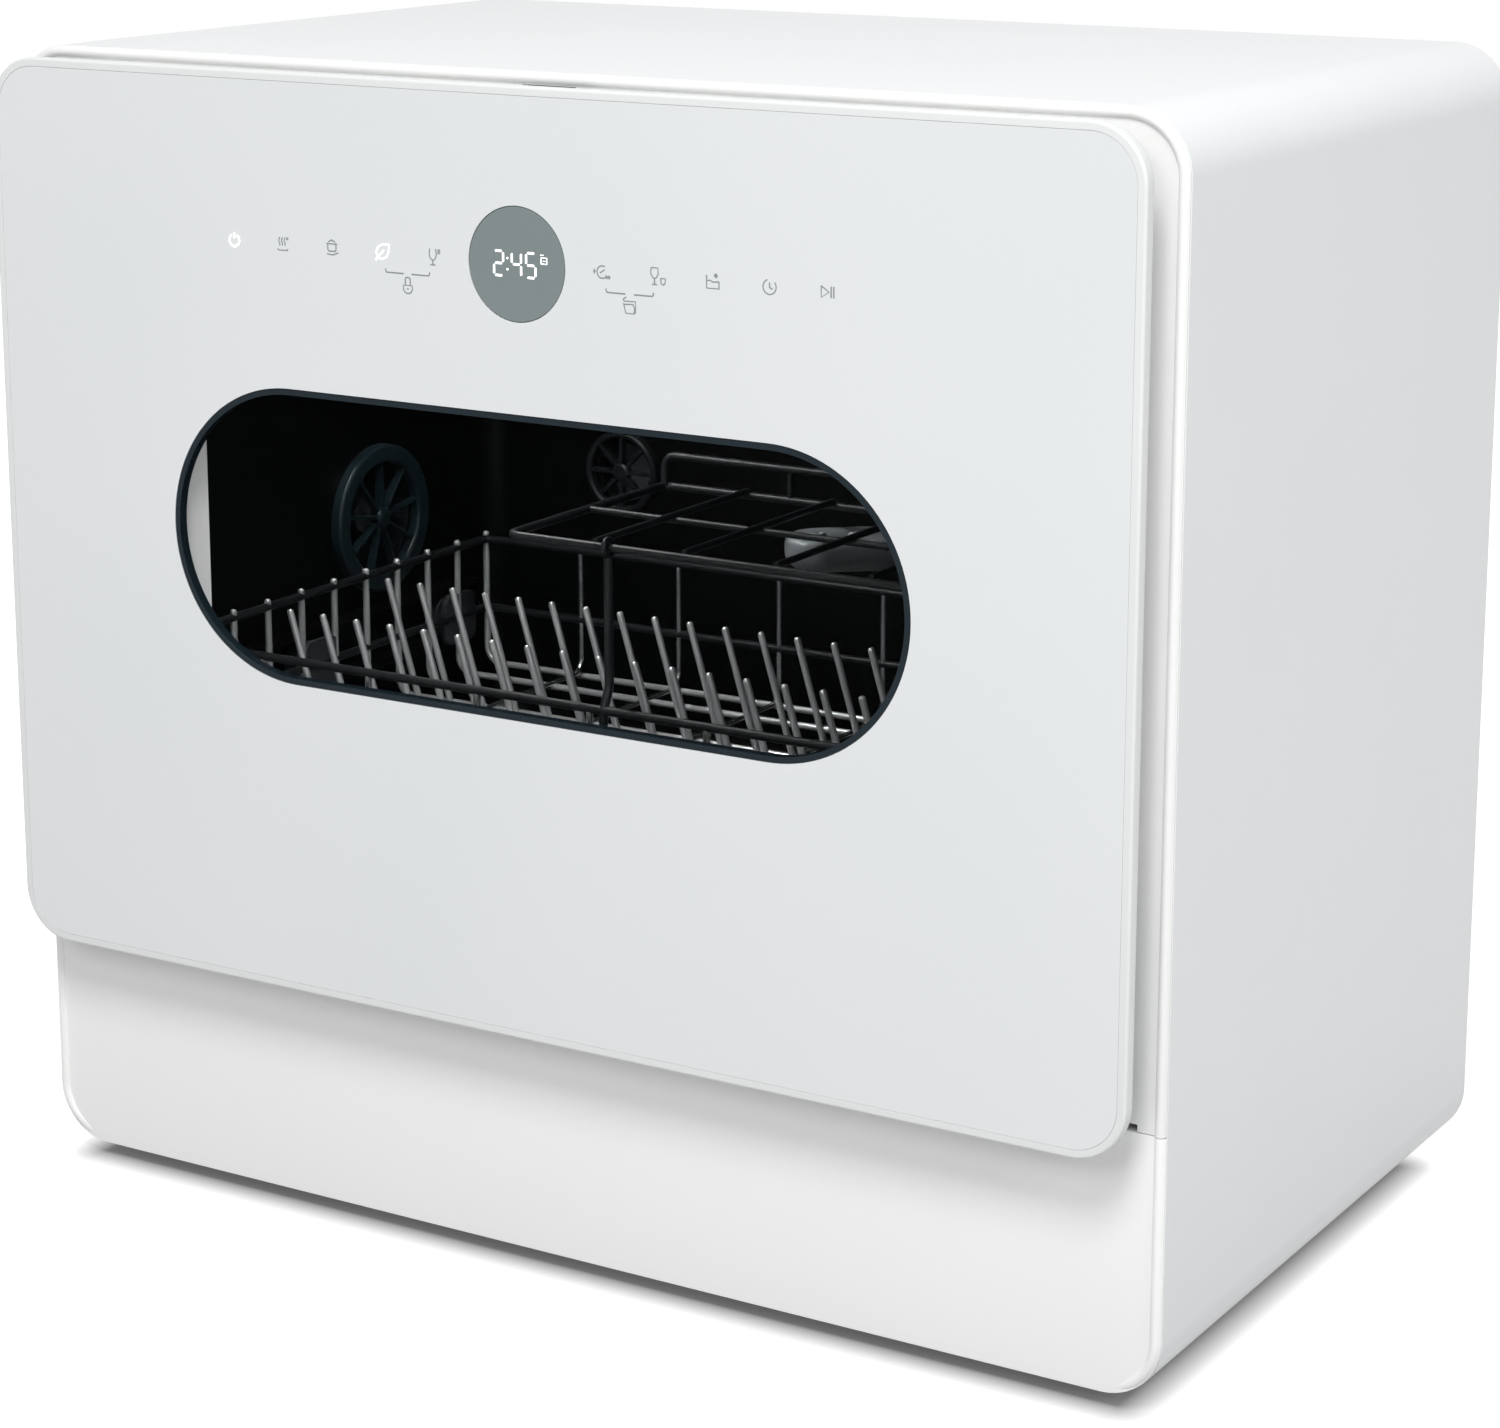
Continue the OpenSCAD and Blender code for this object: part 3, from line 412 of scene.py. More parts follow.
def plastic(name, dark, light, roughness, patch_mm=40, grain_mm=1.2, height_mm=0.01, **shader):
    """A moulded plastic: soft colour patches, a fine grain and an uneven gloss."""
    material, tree, surface, coords = start_material(name, roughness, **shader)
    tree.links.new(mottle(tree, coords, patch_mm, dark, light), surface.inputs["Base Color"])
    noise = grain(tree, coords, grain_mm, height_mm, surface)
    tree.links.new(spread(tree, noise.outputs["Fac"], roughness * 0.8, roughness * 1.2), surface.inputs["Roughness"])
    return material


# %% [markdown]
# Powder coat on folded steel is baked on, so it has a faint orange peel and a soft gloss. The
# moulded rim and plinth are ABS, which is smoother and a little warmer than the coat.

# %% White finishes
powder_coat = plastic("powder_coat", "e4e6e8", "e8eaeb", 0.34, 60, 1.6, 0.004, Coat_Weight=0.15, Coat_Roughness=0.2)
# The plinth's ABS is whitened beyond the rim's, to make up for the light the plinth lacks: painted light.
abs_white_brightened = plastic("abs_white_brightened", "f8f9f8", "fbfbfa", 0.34, 60, 1.6, 0.002, Coat_Weight=0.15, Coat_Roughness=0.2)
# The rim is the same ABS a shade darker, to tone down the highlight on its bead: painted shade.
rim_white_darkened = plastic("abs_rim_white_darkened", "ecedec", "f0f0ef", 0.38, 60, 1.6, 0.002)
satin_white = plastic("abs_satin_white", "e0e2e2", "e3e5e5", 0.36, 60, 1.6, 0.002)
liner_white = plastic("polypropylene_white", "dfe2e3", "e6e8e9", 0.38, 30, 0.8, 0.006)

# %% [markdown]
# The door's glass is clear, and its back is printed white, so it looks like a deep even white with
# a hard gloss on top. A low roughness under a coat gives that.

# %% Printed glass
printed_glass, tree, surface, coords = start_material("back_printed_glass", 0.12, Coat_Weight=1.0, Coat_Roughness=0.02)
tree.links.new(mottle(tree, coords, 160, "d9dddf", "e0e2e3", 1.0), surface.inputs["Base Color"])

# %% Dark and grey plastics
tub_black = plastic("polypropylene_black", "010101", "020303", 0.45, 25, 1.6, 0.004, Specular_IOR_Level=0.12)
grey_plastic = plastic("polypropylene_grey", "6f7477", "7b8083", 0.36, 18, 0.8, 0.008)
light_plastic = plastic("polypropylene_light", "b9bdbf", "c4c8ca", 0.4, 18, 0.8, 0.008)
dark_plastic = plastic("glass_filled_nylon", "2a2d30", "34383b", 0.5, 15, 0.7, 0.012)
blue_plastic = plastic("acetal_blue", "3f7396", "4a82a6", 0.25, 12, 0.8, 0.004)
rubber = plastic("epdm_rubber", "1a1c1d", "232627", 0.6, 14, 0.6, 0.015)
teal_plastic = plastic("polypropylene_teal", "121f23", "18282d", 0.3, 14, 0.8, 0.006)
solder_mask = plastic("solder_mask", "1d4a33", "25573e", 0.3, 6, 0.5, 0.01)

# %% [markdown]
# Stainless wire is drawn and then polished, so it mirrors the room in thin bright streaks. Zinc
# plate is duller and has a spangle of pale crystals.

# %% Metals
def metal(name, dark, light, roughness, patch_mm, grain_mm, height_mm):
    return plastic(name, dark, light, roughness, patch_mm, grain_mm, height_mm, Metallic=1.0)


stainless = metal("stainless_wire", "b4b9bb", "c9cdce", 0.16, 6, 0.8, 0.003)
steel = metal("stainless_sheet", "a5a9ab", "b6babc", 0.28, 12, 0.6, 0.004)
zinc = metal("zinc_plate", "9fa4a7", "b9bec0", 0.42, 5, 1.5, 0.004)
bright_wire = metal("polished_wire", "dde0e1", "eceeef", 0.22, 6, 0.8, 0.003)
vinyl_light = plastic("vinyl_coat_light", "dcdfe0", "e6e8e9", 0.22, 8, 0.8, 0.002, Metallic=0.6)
# The near-black on the rack's loops, posts and shelf is painted shade for wires that stand in shadow; on the breather
# cover it is the part's dark plastic.
dark_coat_and_shade = plastic("coat_dark_and_painted_shade", "131618", "1a1e20", 0.42, 8, 0.8, 0.003, Specular_IOR_Level=0.3)

# %% Window glass
smoked_glass, tree, surface, coords = start_material("smoked_glass", 0.02, Alpha=0.14, Specular_IOR_Level=0.02)
surface.inputs["Base Color"].default_value = linear("020304")
clear_glass, tree, surface, coords = start_material("clear_glass", 0.02, Alpha=0.03, Specular_IOR_Level=0.02)
surface.inputs["Base Color"].default_value = linear("080a0a")
display_glass = plastic("display_glass", "647374", "6b7879", 0.1, 30, 1.0, 0.0, Coat_Weight=1.0, Coat_Roughness=0.02)

# %% [markdown]
# Print behind glass is an even dark ink. Grey ink on its front is matt, and the lit signs glow
# through the print.

# %% Inks
black_print = plastic("back_print_slate", "1a252b", "202c33", 0.12, 20, 1.0, 0.0, Specular_IOR_Level=0.1)
grey_ink = plastic("screen_ink_grey", "84898c", "8d9294", 0.5, 6, 0.4, 0.0)
lit_white, tree, surface, coords = start_material("lit_diffuser_white", 0.4)
surface.inputs["Base Color"].default_value = linear("ffffff")
surface.inputs["Emission Color"].default_value = linear("ffffff")
surface.inputs["Emission Strength"].default_value = 1.0

# %% First look: every CAD node gets its finish
finish_of = {
    "white_enamel": powder_coat, "white_moulding": abs_white_brightened, "printed_glass": printed_glass,
    "smoked_glass": smoked_glass, "clear_glass": clear_glass, "display_glass": display_glass,
    "dark_tub": tub_black, "grey_plastic": grey_plastic, "dark_plastic": dark_plastic,
    "light_plastic": light_plastic, "blue_plastic": blue_plastic, "circuit_board": solder_mask,
    "rubber": rubber, "rack_wire": stainless, "steel": steel, "zinc_steel": zinc,
}
slot_of = {part["node"]: part["material_slot"] for part in frame["record"]["subparts"]}
for name, node in frame["nodes"].items():
    node.data.materials.clear()
    node.data.materials.append(finish_of[slot_of[name]])


# %% [markdown]
# ## The case
# The wrap is one sheet of steel folded round the machine, so its four long edges are wide arcs.
# It could be drawn as a tube, but a box with rounded edges, opened at both ends and given a wall,
# is closer to how the real sheet is bent.

# %% Wrap
SHEET = 1.2 * MM
FACE_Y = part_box("case_wrap")[0].y
PANEL_Y = 0.148
CASE_R = 22 * MM
SKIN = 1.3 * MM
GAP = 0.3 * MM

low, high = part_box("case_wrap")
wrap = slab("wrap_shell", low, high, CASE_R, 20)
open_faces(wrap, lambda c, n: abs(n.y) > 0.9)
bpy.ops.mesh.delete(type="FACE")
close()
wall(wrap, SHEET)
cut(wrap, block("underside", (-0.2, FACE_Y + 0.018, 0), (0.2, high.y - 0.018, 0.012)))
soften(wrap, 0.15 * MM, 2)
place(wrap, "case", powder_coat, "white_enamel", "case_wrap")
print("Wrap:", [round(v * 1000) for v in high - low], "mm")

# %% [markdown]
# The rim is a moulded frame that fills the wrap's mouth. Its half-round bead is swept along the
# outline, and runs on into the plinth below, whose upright edges have the same curve.

# %% Rim with its bead
BEAD_W = 4.2 * MM
BEAD_H = 2.5 * MM
LAP = 0.2 * MM
FLANGE_Y = FACE_Y - 1.0 * MM
MOULD = 2.6 * MM
MOUTH = ((-0.214, FACE_Y - 0.01, 0.121), (0.214, FACE_Y + 0.01, 0.421))

low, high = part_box("front_bezel")
case_low, case_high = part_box("case_wrap")
rim_plate = slab("rim_plate", (low.x, FACE_Y, low.z), (high.x, FACE_Y + MOULD, high.z), CASE_R - SKIN, 16, lambda c: c.z > 0.3)
flange = slab("rim_flange", (case_low.x + LAP, FLANGE_Y, low.z), (case_high.x - LAP, FACE_Y - 0.05 * MM, case_high.z - LAP), CASE_R - LAP, 16, lambda c: c.z > 0.3)
rim = join("rim_moulding", [rim_plate, flange])
slots = [block("ear_slot", (s * 0.2232 - 0.0062, FACE_Y - 0.01, 0.09), (s * 0.2232 + 0.0062, FACE_Y + 0.01, 0.1037)) for s in (-1, 1)]
slots.append(block("hook_slot", (-0.011, FACE_Y - 0.01, 0.4237), (0.011, FACE_Y + 0.01, 0.4333)))
cut(rim, slab("mouth", MOUTH[0], MOUTH[1], 24 * MM, 12), *slots)
soften(rim, 0.15 * MM, 2)



def bead(start_z, far_z):
    """A half-round bead up or down both sides and across at the far end."""
    x = case_high.x - LAP - BEAD_W / 2
    bpy.ops.object.select_all(action="DESELECT")
    bpy.ops.mesh.primitive_circle_add(vertices=28, radius=1, fill_type="NOTHING", location=(x, FACE_Y, start_z))
    bpy.context.object.scale = (BEAD_W / 2, BEAD_H, 1)
    corners = [(x, FACE_Y, start_z), (x, FACE_Y, far_z), (-x, FACE_Y, far_z), (-x, FACE_Y, start_z)]
    return soften(swept("bead", settle("bead"), corners, CASE_R - LAP - BEAD_W / 2, 16), 0, angle=40)


rim = join("rim_moulding", [rim, bead(low.z, case_high.z - LAP - BEAD_W / 2)])
place(rim, "case", rim_white_darkened, "white_moulding", "front_bezel")

# %% Plinth
low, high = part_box("plinth_panel")
skirt = slab("skirt", (low.x, FACE_Y, low.z), high, CASE_R - SKIN, 16, lambda c: c.z < 0.05)
open_faces(skirt, lambda c, n: abs(n.y) > 0.9)
bpy.ops.mesh.delete(type="FACE")
close()
wall(skirt, MOULD)
flange = slab("plinth_flange", (case_low.x + LAP, FLANGE_Y, case_low.z + LAP), (case_high.x - LAP, FACE_Y - 0.05 * MM, high.z), CASE_R - LAP, 16, lambda c: c.z < 0.05)
plinth = soften(join("plinth_moulding", [skirt, flange]), 0.15 * MM, 2)
plinth_bead = bead(high.z, case_low.z + LAP + BEAD_W / 2)
open_faces(plinth_bead, lambda c, n: abs(c.x) < case_high.x - CASE_R - 1 * MM)
bpy.ops.transform.resize(value=(1, 0.3, 1), center_override=(0, FACE_Y, 0), use_proportional_edit=True,
                         proportional_edit_falloff="SMOOTH", proportional_size=26 * MM)
close()
plinth = join("plinth_moulding", [plinth, plinth_bead])
place(plinth, "case", abs_white_brightened, "white_moulding", "plinth_panel")

# %% [markdown]
# ## The door
# The frame is a shallow moulded tray with a narrow lip, and the glass lies in it flush. The lip's
# outer edge is rounded, which gives the bright line round the door.

# %% Door frame
GLASS_T = 4 * MM
LIP = 3.2 * MM
SEAM = 0.06 * MM
DOOR_R = 20 * MM
WINDOW_Z = 0.268
KEYS_Z = 0.3745
DISPLAY_R = 20 * MM
SEAT_Y = -0.1468


def stadium(name, width, height, y0, y1, z):
    """A slot-shaped block with half-circle ends."""
    shape = slab(name, (-width / 2, y0, z - height / 2), (width / 2, y1, z + height / 2), height / 2 - 1e-5, 32)
    open_faces(shape, lambda c, n: True)
    bpy.ops.mesh.remove_doubles(threshold=1e-4)
    return close()


def disc(name, radius, y0, y1, x, z, steps=72):
    """A round block along Y."""
    return turned(name, [(0, 0), (radius, 0), (radius, y1 - y0), (0, y1 - y0)], (x, y0, z), (0, 1, 0), steps)


low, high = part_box("door_frame")
frame_piece = slab("door_tray", low, high, DOOR_R, 18)
open_edges(frame_piece, lambda a, b: max(a.y, b.y) < low.y + 1e-5)
bpy.ops.mesh.bevel(offset=1.1 * MM, offset_type="OFFSET", segments=5, profile=0.5)
close()
open_edges(frame_piece, lambda a, b: min(a.y, b.y) > high.y - 1e-5)
bpy.ops.mesh.bevel(offset=4.4 * MM, offset_type="OFFSET", segments=7, profile=0.5)
close()
cut(frame_piece,
    slab("pocket", (low.x + LIP, low.y - 0.01, low.z + LIP), (high.x - LIP, SEAT_Y, high.z - LIP), DOOR_R - LIP, 18),
    slab("tunnel", (-0.167, -0.16, WINDOW_Z - 0.062), (0.167, -0.13, WINDOW_Z + 0.062), 4 * MM, 6),
    disc("display_hole", DISPLAY_R - 1 * MM, -0.16, -0.13, 0, KEYS_Z))
soften(frame_piece, 0.12 * MM, 2)
place(frame_piece, "door", satin_white, "white_moulding", "door_frame")

# %% [markdown]
# The glass is printed white on its back, apart from the window and the display. Those two are
# separate inlays in the frame, so the glass has two holes and they fill them flush.

# %% Door glass
GLASS_Y = -0.1509
inset = LIP + SEAM
glass = slab("glass_panel", (low.x + inset, GLASS_Y, low.z + inset), (high.x - inset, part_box("door_glass")[1].y, high.z - inset), DOOR_R - inset, 18)
cut(glass,
    stadium("window_hole", 0.308, 0.109, -0.16, -0.14, WINDOW_Z),
    disc("lens_hole", DISPLAY_R, -0.16, -0.14, 0, KEYS_Z))
soften(glass, 0.12 * MM, 2)
place(glass, "door", printed_glass, "printed_glass", "door_glass")

# %% Window with its dark printed band
BAND = 2.1 * MM
band = stadium("window_band", 0.3076, 0.1086, GLASS_Y, -0.147, WINDOW_Z)
cut(band, stadium("band_hole", 0.3076 - 2 * BAND, 0.1086 - 2 * BAND, -0.16, -0.14, WINDOW_Z))
soften(band, 0.15 * MM, 2)
place(band, "door", black_print, "smoked_glass")
cheek = block("cheek", (-0.1590, -0.1466, 0.209), (-0.1556, -0.1330, 0.327))
open_faces(cheek, lambda c, n: n.y > 0.9)
bpy.ops.transform.translate(value=(2.8 * MM, 0, 0))
close()
soften(cheek, 0.2 * MM, 2)
cheeks = join("window_cheeks", [cheek, copied(cheek, MIRROR_X)])
place(cheeks, "door", abs_white_brightened, "white_moulding")
pane = stadium("window_glass", 0.3075 - 2 * BAND, 0.1085 - 2 * BAND, GLASS_Y, -0.147, WINDOW_Z)
soften(pane, 0.15 * MM, 2)
place(pane, "door", smoked_glass, "smoked_glass", "window_pane")

# %% [markdown]
# The display is a tinted disc, and its numbers shine through from behind. They are drawn just
# in front of the disc, seven short bars to a digit, each bar with round ends.

# %% Display
LENS_Y = -0.1508
lens = disc("display_disc", DISPLAY_R - 0.2 * MM, LENS_Y, -0.147, 0, KEYS_Z)
soften(lens, 0.3 * MM, 2)
place(lens, "door", display_glass, "display_glass", "display_lens")

BAR = 0.8 * MM
DIGIT_W = 4.6 * MM - BAR
DIGIT_H = 9.2 * MM - BAR
BARS_OF = {"0": "abcdef", "1": "bc", "2": "abdeg", "3": "abcdg", "4": "bcfg", "5": "acdfg", "6": "acdefg", "8": "abcdefg"}


def bar(x, z, long_x, long_z):
    """One lit bar, centred at a place on the display."""
    return slab("bar", (x - long_x / 2, LENS_Y - 0.1 * MM, z - long_z / 2), (x + long_x / 2, LENS_Y, z + long_z / 2), BAR / 2 - 1e-5, 4)


def digit(number, x, z):
    """The lit bars of one number."""
    w, h = DIGIT_W / 2, DIGIT_H / 2
    at = {"a": (0, h), "g": (0, 0), "d": (0, -h), "b": (w, h / 2), "c": (w, -h / 2), "f": (-w, h / 2), "e": (-w, -h / 2)}
    flat = (DIGIT_W - 1.1 * BAR, BAR)
    upright = (BAR, DIGIT_H / 2 - 1.1 * BAR)
    return [bar(x + at[k][0], z + at[k][1], *(flat if k in "agd" else upright)) for k in BARS_OF[number]]


shown = digit("2", -7.4 * MM, KEYS_Z) + digit("4", 0, KEYS_Z) + digit("5", 5.9 * MM, KEYS_Z)
shown += [bar(-3.75 * MM, KEYS_Z + s * 1.9 * MM, BAR, BAR) for s in (-1, 1)]
numbers = join("display_numbers", shown)
place(numbers, "door", lit_white, "display_glass")

# %% [markdown]
# The touch keys are signs on the glass. Each is drawn as thin strokes: a line of points becomes a
# curve, the curve gets a round section, and the tube is pressed flat against the glass.

# %% Signs on the keys
STROKE = 0.27 * MM


def signs(name, strokes, x, z, thick=STROKE):
    """Draws strokes of (x, z) points in millimetres, centred at a place on the glass."""
    tubes = []
    for points in strokes:
        places = [(x + px * MM, 0, z + pz * MM) for px, pz in points]
        path_to("stroke", places[0], places[1:])
        bpy.ops.object.mode_set(mode="OBJECT")
        bpy.ops.object.convert(target="CURVE")
        tube = bpy.context.object
        tube.data.bevel_depth = thick
        tube.data.bevel_resolution = 1
        tube.data.use_fill_caps = True
        bpy.ops.object.convert(target="MESH")
        tubes.append(tube)
    drawn = join(name, tubes)
    drawn.scale.y = 0.08
    drawn.location.y = GLASS_Y - 0.03 * MM
    bpy.ops.object.transform_apply(location=True, rotation=True, scale=True)
    return drawn


def arc(cx, cz, radius, start, end, steps=14, squash=1.0):
    """Points on an arc, in degrees anticlockwise from +X."""
    turns = [math.radians(start + (end - start) * i / steps) for i in range(steps + 1)]
    return [(cx + radius * math.cos(t), cz + radius * squash * math.sin(t)) for t in turns]


def bracket(half):
    """The line under two keys that work together."""
    left = [(-half, 1.3), (-half, 0.5), (-half + 0.5, 0), (-1.7, 0)]
    return [left, [(-px, pz) for px, pz in left]]


glass_cup = [arc(0, 1.2, 1.5, 20, -200, 12, 1.5) + [(-1.2, 2.9)], [(1.2, 2.9), (1.42, 1.7)], [(0, -1.1), (0, -2.6)], [(-1.1, -2.7), (1.1, -2.7)]]
unlit = [
    signs("sign_steam", [[(x0 + 0.25 * math.sin(k * 1.1), -0.6 + k * 0.42) for k in range(8)] for x0 in (-1.5, -0.3, 0.9)]
          + [arc(2.1, 1.9, 0.35, 0, 360, 6), [(-2.3, -1.7), (-1.9, -2.3), (1.9, -2.3), (2.3, -1.7)]], -0.1004, KEYS_Z),
    signs("sign_pot", [[(-1.8, 1.5), (-1.8, -0.6), (-1.3, -1.1), (1.3, -1.1), (1.8, -0.6), (1.8, 1.5)], [(-2.4, 1.5), (2.4, 1.5)],
                       arc(0, 1.7, 1.6, 20, 160, 8, 0.6), [(0, 2.7), (0, 3.1)], [(-2.2, -2.1), (0.3, -2.4), (2.8, -1.5)]], -0.0786, KEYS_Z),
    signs("sign_glass", glass_cup + [[(2.0, 2.6 - k * 0.6), (3.2, 2.6 - k * 0.6)] for k in range(3)], -0.035, KEYS_Z),
    signs("bracket_left", bracket(9.4), -0.0459, 0.3678),
    signs("sign_lock", [arc(0, -0.6, 1.9, 180, 360, 12, 0.9) + [(1.9, 0.5), (-1.9, 0.5), (-1.9, -0.6)],
                        [(-1.05, 0.5), (-1.05, 2.6)] + arc(0, 2.6, 1.05, 180, 0, 8, 0.7) + [(1.05, 0.5)], [(-0.4, -0.7), (0.4, -0.7)]], -0.0459, 0.3633),
    signs("sign_plate", [arc(0, 0, 2.1, 60, 300, 18), [(-3.6, 0.1), (-2.6, 0.1)], [(-3.2, 0.9), (-3.2, -0.7)], [(-0.9, -0.4), (0.9, 0.9)],
                         [(1.3, -1.0), (3.0, -2.2)], [(1.6, -2.2), (2.9, -1.0)], [(1.0, -1.7), (3.3, -1.6)]], 0.035, KEYS_Z),
    signs("sign_glasses", [[(px - 1.0, pz) for px, pz in s] for s in
                           [[(-1.3, 3.0), (1.3, 3.0), (1.5, 1.0), (0.7, -0.3), (0, -0.6), (-0.7, -0.3), (-1.5, 1.0), (-1.3, 3.0)], [(0, -0.6), (0, -2.5)], [(-1.0, -2.6), (1.0, -2.6)]]]
          + [[(1.4, -0.4), (3.3, -0.4), (3.1, -2.1), (2.35, -2.6), (1.6, -2.1), (1.4, -0.4)]], 0.0568, KEYS_Z),
    signs("bracket_right", bracket(9.4), 0.0459, 0.3678),
    signs("sign_open", [[(-2.4, 0.9), (2.3, 1.0), (2.3, -2.7), (1.7, -3.1)], [(-2.6, 0.1), (-2.3, -0.2), (1.3, 0.0), (1.9, -1.4), (1.6, -3.2), (-1.6, -3.1), (-2.4, 0.0)],
                        [(-2.6, 1.6), (-1.4, 2.3)], [(-2.6, 1.6), (-2.3, 0.9)]], 0.0459, 0.3645),
    signs("sign_drawer", [[(-2.4, 2.2), (-2.4, -2.2), (2.4, -2.2), (2.4, 0.2)], [(-2.4, 0.2), (-1.2, 0.5), (0.2, -0.1), (2.4, 0.2)],
                          [(1.2, 2.9), (1.2, 1.3)], [(0.4, 2.1), (2.0, 2.1)], [(0.7, 2.6), (1.7, 1.6)], [(0.7, 1.6), (1.7, 2.6)]], 0.0786, KEYS_Z),
    signs("sign_clock", [arc(0, 0, 2.5, 110, 400, 22), [(0, 1.5), (0, -0.2), (1.1, -0.7)]], 0.1004, KEYS_Z),
    signs("sign_play", [[(-2.3, 1.9), (-2.3, -1.9), (0.6, 0), (-2.3, 1.9)], [(1.4, 1.9), (1.4, -1.9)], [(2.4, 1.9), (2.4, -1.9)]], 0.1222, KEYS_Z),
]
place(join("key_signs", unlit), "door", grey_ink, "printed_glass")

lit = [
    signs("sign_power", [arc(0, -0.2, 2.2, 125, 415, 22), [(0, 2.6), (0, 0.5)]], -0.1222, KEYS_Z, 0.42 * MM),
    signs("sign_leaf", [[(-2.9, -2.8), (-1.6, -1.5), (0.9, 1.0)],
                        [(-1.9, -1.8), (-2.5, 0.2), (-1.6, 2.0), (0.4, 2.9), (3.1, 3.0), (2.9, 0.5), (1.9, -1.4), (0.1, -2.3), (-1.9, -1.8)]],
          -0.0568, KEYS_Z, 0.34 * MM),
]
place(join("lit_signs", lit), "door", lit_white, "printed_glass")
small_sign = signs("display_sign", [[(-1.2, -1.3), (-1.2, 0.8), (1.2, 0.8), (1.2, -1.3), (-1.2, -1.3)], [(-0.5, -0.3), (0.6, -0.3)], [(-1.5, 1.7), (-0.2, 1.7)]],
                   11.4 * MM, KEYS_Z + 2.2 * MM, 0.2 * MM)
place(small_sign, "door", lit_white, "display_glass")
print("Signs drawn:", len(unlit) + len(lit))


# %% [markdown]
# ## Inside
# The tub is one moulding with wide corner arcs. It is a box with its front face taken off, a wall
# put on inwards, and the holes for the sump, the pipe, the salt cap and the two vents cut out.

# %% Tub
TUB_X, TUB_Y1, TUB_Z0, TUB_Z1 = 0.214, 0.133, 0.121, 0.421
HUB = Vector((0, 0.0035, TUB_Z0))
FILTER = Vector((0.130, 0.0035, TUB_Z0))
PIPE = Vector((0.085, 0.123, 0.270))
SALT = Vector((-0.142, 0.063, 0.109))
VENT = Vector((-0.214, 0.050, 0.227))
BREATHER = Vector((-0.143, 0.133, 0.240))


def drilled(x, y, radius):
    """A cutter for a hole in the tub's floor."""
    return turned("hole", [(0, 0), (radius, 0), (radius, 0.04), (0, 0.04)], (x, y, TUB_Z0 - 0.02), (0, 0, 1), 40)


low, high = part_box("tub")
tub = slab("tub_shell", low, high, 26 * MM, 14)
open_edges(tub, lambda a, b: min(a.y, b.y) > high.y - 1e-5)
bpy.ops.mesh.bevel(offset=12 * MM, offset_type="OFFSET", segments=6, profile=0.5)
close()
open_faces(tub, lambda c, n: n.y < -0.9)
bpy.ops.mesh.delete(type="FACE")
close()
wall(tub, 2 * MM)
vent_hole = turned("hole", [(0, 0), (0.0255, 0), (0.0255, 0.02), (0, 0.02)], VENT - Vector((0.01, 0, 0)), (1, 0, 0), 40)
back_hole = turned("hole", [(0, 0), (0.013, 0), (0.013, 0.02), (0, 0.02)], BREATHER - Vector((0, 0.01, 0)), (0, 1, 0), 32)
cut(tub, drilled(HUB.x, HUB.y, 0.0092), drilled(FILTER.x, FILTER.y, 0.031), drilled(PIPE.x, PIPE.y, 0.0073),
    drilled(SALT.x, SALT.y, 0.022), vent_hole, back_hole)
soften(tub, 0.4 * MM, 2)
place(tub, "case", tub_black, "dark_tub", "tub")

# %% [markdown]
# ## The rack
# A wire rack is made from bent wires that are welded where they cross. One set runs down the
# front, over the floor and up the back, another runs from side to side, and two loops hold the
# tops. Each set is modelled as one bent wire and copied along, as a jig would lay them out.

# %% Basket
RACK_X, RACK_Y0, RACK_Y1, RACK_Z, RACK_TOP = 0.198, -0.109, 0.107, 0.154, 0.209
WIRE_R = 1.7 * MM
THIN_R = 1.36 * MM
SECOND_Z = RACK_Z + 0.45 * (RACK_TOP - RACK_Z)
BAYS_X, BAYS_Y = 8, 10
wires_x = [-RACK_X + 2 * RACK_X * i / BAYS_X for i in range(BAYS_X + 1)]
wires_y = [RACK_Y0 + (RACK_Y1 - RACK_Y0) * i / BAYS_Y for i in range(BAYS_Y + 1)]


def shifted(piece, *offset):
    """A copy of a piece, moved."""
    return copied(piece, Matrix.Translation(Vector(offset)))


def loop(name, x0, x1, y0, y1, z, radius, bend):
    """A closed wire loop lying flat, starting in the middle of its back run."""
    middle = (x0 + x1) / 2
    return wire(name, [(middle, y1, z), (x1, y1, z), (x1, y0, z), (x0, y0, z), (x0, y1, z), (middle, y1, z)], radius, bend)


lengthwise = wire("long_wire", [(0, RACK_Y0, RACK_TOP), (0, RACK_Y0, RACK_Z + 1.4 * MM), (0, RACK_Y1, RACK_Z + 1.4 * MM), (0, RACK_Y1, RACK_TOP)], THIN_R, 7 * MM)
long_wires = join("rack_long_wires", [lengthwise] + [shifted(lengthwise, x, 0, 0) for x in wires_x[1:-1] if abs(x) > 1e-6])
soften(long_wires, 0, angle=60)
place(long_wires, "rack", bright_wire, "rack_wire", "rack_front", "rack_rear")

crosswise = wire("cross_wire", [(-RACK_X, 0, RACK_TOP + 3.4 * MM), (-RACK_X, 0, RACK_Z), (RACK_X, 0, RACK_Z), (RACK_X, 0, RACK_TOP + 3.4 * MM)], 1.45 * MM, 7 * MM, tip=0.9)
ends = [shifted(crosswise, 0, y, 0) for y in wires_y[1:]]
cross_wires = join("rack_cross_wires", [copied(crosswise, Matrix.Translation((0, RACK_Y0, 0)))] + ends)
bpy.data.objects.remove(crosswise)
soften(cross_wires, 0, angle=60)
place(cross_wires, "rack", vinyl_light, "rack_wire", "rack_floor")

loops = join("rack_loops", [loop("loop", -RACK_X, RACK_X, RACK_Y0, RACK_Y1, z, WIRE_R, 4 * MM) for z in (RACK_TOP, SECOND_Z)])
soften(loops, 0, angle=60)
place(loops, "rack", dark_coat_and_shade, "rack_wire")

# %% [markdown]
# The shelf hangs on two posts with eyes. Each roller turns on a pin in a small plate welded to
# the side of the basket.

